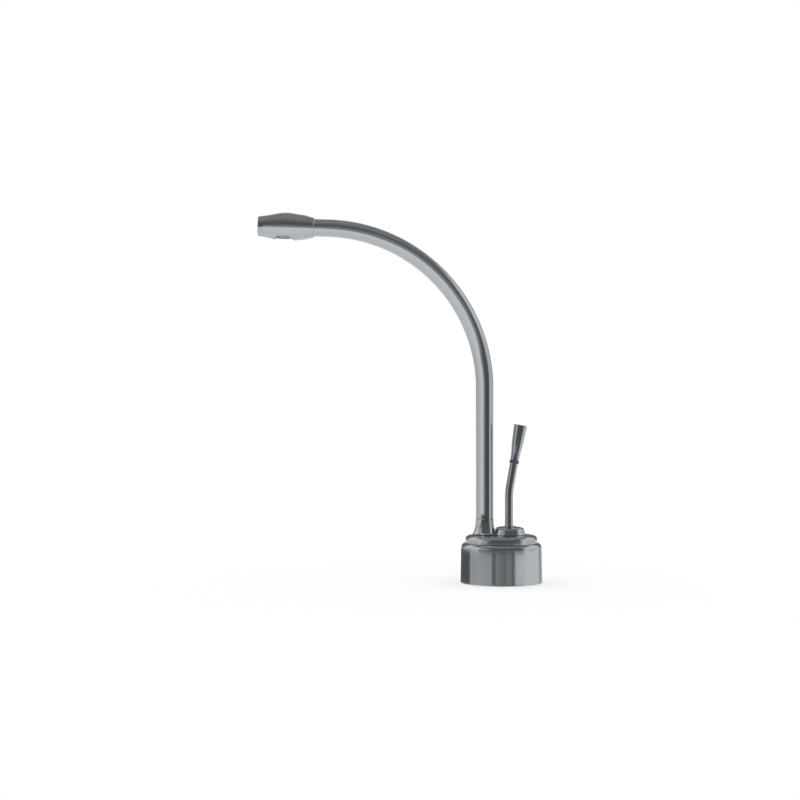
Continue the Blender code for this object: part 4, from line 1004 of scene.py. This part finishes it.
def ribbonRows(firstEdge, lastEdge):  # edges are functions of the degrees round the arc
    rise, arcR, arcTurn = tube["Rise"], tube["Arc Radius"], tube["Arc Turn"]
    whole = rise + arcR * arcTurn + nozzle["lead"] + nozzle["length"]
    last = ribbonEdges[-1][0] - math.degrees(arcTurn)  # the straight lead carries the edges on to the last row
    rows = []
    for k in range(stage["ribbonSteps"] + 1):
        along = max(whole * k / stage["ribbonSteps"], stage["ribbonLow"])
        turn = min(max((along - rise) / arcR, 0), arcTurn)
        beyond = max(along - rise - arcR * arcTurn, 0)
        x = axes["spoutX"] - arcR * (1 - math.cos(turn)) - beyond * math.sin(turn)
        z = tube["Low"] + min(along, rise) + arcR * math.sin(turn) + beyond * math.cos(turn)
        side = Vector((math.cos(turn), 0, math.sin(turn)))
        degrees = math.degrees(turn) + min(beyond / nozzle["lead"], 1) * last
        centre = Vector((x, -stage["ribbonAhead"], z))
        rows.append([centre + side * firstEdge(degrees), centre + side * lastEdge(degrees)])
    return rows


def ribbonEdge(degrees, column):
    for one, two in zip(ribbonEdges, ribbonEdges[1:]):
        if degrees <= two[0]:
            return one[column] + (two[column] - one[column]) * (degrees - one[0]) / (two[0] - one[0])
    return ribbonEdges[-1][column]


def makeCards():
    for name, cardSet in cardSets.items():
        for index, (start, end, tone) in enumerate(cardSet["cards"]):
            reflectedCard(f"{name}{index}", fanRows(cardSet, start, end), tone)
    bright = ribbonRows(lambda degrees: stage["ribbonLeft"], lambda degrees: ribbonEdge(degrees, 1))
    reflectedCard("spoutRibbon", bright, stage["ribbonTone"])
    soft = ribbonRows(lambda degrees: ribbonEdge(degrees, 1), lambda degrees: ribbonEdge(degrees, 2))
    reflectedCard("spoutRibbonSoft", soft, stage["ribbonSoftTone"])


# what the metal reflects of the room, by direction: degrees to the right of the camera, and height from -1 to 1
room = {
    # a dark room in front: left, right, foot and head edge of each part, from and to, and its tone
    "dark": (
        ((-56, -44), (56, 70), (-0.20, -0.10), (0.0, 0.10), 0.11),
        ((-76, -62), (60, 78), (0.0, 0.10), (1.5, 1.6), 0.16),
        ((-24, -12), (56, 70), (-0.58, -0.48), (-0.20, -0.10), 0.17),
    ),
    "window": ((-80, -60), (-46, -32), (0.12, 0.24), (0.50, 0.60)), "windowTone": 0.60,
    "sides": (72, 88), "sidesHigh": (0.10, 0.40), "sidesShade": 0.20,
    "above": (0.58, 0.78), "aboveTone": 0.25, "crown": (0.75, 1.0), "crownRise": 0.12,
    "behind": (0.64, 0.80), "behindFoot": (-0.03, 0.03), "behindHead": (0.50, 0.62), "behindTone": 0.18,
}


def makeWorld():
    world = bpy.data.worlds.new("studio")
    bpy.context.scene.world = world
    world.use_nodes = True
    world.node_tree.nodes.clear()
    world.cycles.sampling_method = "NONE"
    graph = Graph(world.node_tree)
    x, y, z = graph.split(graph.add("ShaderNodeTexCoord", None, None, out=0))  # the ray's direction
    turn = x.maths("ARCTAN2", -y) * math.degrees(1)

    def part(left, right, foot, head):
        return turn.step(*left) * (1 - turn.step(*right)) * z.step(*foot) * (1 - z.step(*head))

    def over(tone, mask, other):
        return tone * (1 - mask) + mask * other

    dark = [(part(*edges), tone) for *edges, tone in room["dark"]]
    sides = turn.maths("ABSOLUTE").step(*room["sides"]) * (1 - z.maths("ABSOLUTE").step(*room["sidesHigh"]))
    tone = (1 - sides * room["sidesShade"]) * (1 - sum(mask for mask, _ in dark))
    tone = tone + sum(mask * level for mask, level in dark)
    tone = over(tone, part(*room["window"]), room["windowTone"])
    tone = over(tone, z.step(*room["above"]), room["aboveTone"] + z.step(*room["crown"]) * room["crownRise"])
    behind = y.step(*room["behind"]) * z.step(*room["behindFoot"]) * (1 - z.step(*room["behindHead"]))
    tone = over(tone, behind, room["behindTone"])
    camera = graph.add("ShaderNodeLightPath", None, None, out=0)  # Is Camera Ray
    glossy = graph.add("ShaderNodeLightPath", None, None, out=3)  # Is Glossy Ray
    level = over(tone * glossy + (1 - glossy) * stage["roomLevel"], camera, 1.0)
    background = graph.add("ShaderNodeBackground", None, {"Color": (1.0, 1.0, 1.0), "Strength": level})
    graph.add("ShaderNodeOutputWorld", None, {"Surface": background})


def makeCamera():
    camera = bpy.data.objects.new("photoCamera", bpy.data.cameras.new("photoCamera"))
    bpy.context.scene.collection.objects.link(camera)
    camera.location = stage["cameraAt"]
    camera.rotation_euler = (math.pi / 2, 0, 0)
    camera.data.lens = stage["lens"]
    bpy.context.scene.camera = camera


for name in ("Cube", "Light", "Camera"):
    if name in bpy.data.objects:
        bpy.data.objects.remove(bpy.data.objects[name])
brass = plainFinish("brass")
steel = plainFinish("stainlessSteel")
rubber = plainFinish("blackRubber")
acetal = plainFinish("whiteAcetal")

makeCamera()
makeShell()
makeCapPlate()
makeTurret()
print("scene: base dressed")
makeLever()
print("scene: lever dressed")
makeCollar()
makeTube()
makeNozzle()
makeAerator()
print("scene: spout dressed")
makeFastening()
makeNipple()
makeSpring()
dressInnerNodes()
print("scene: fastening and inner pieces dressed")
makeFloor()
makeCards()
makeWorld()
bpy.context.scene.view_settings.view_transform = "Standard"
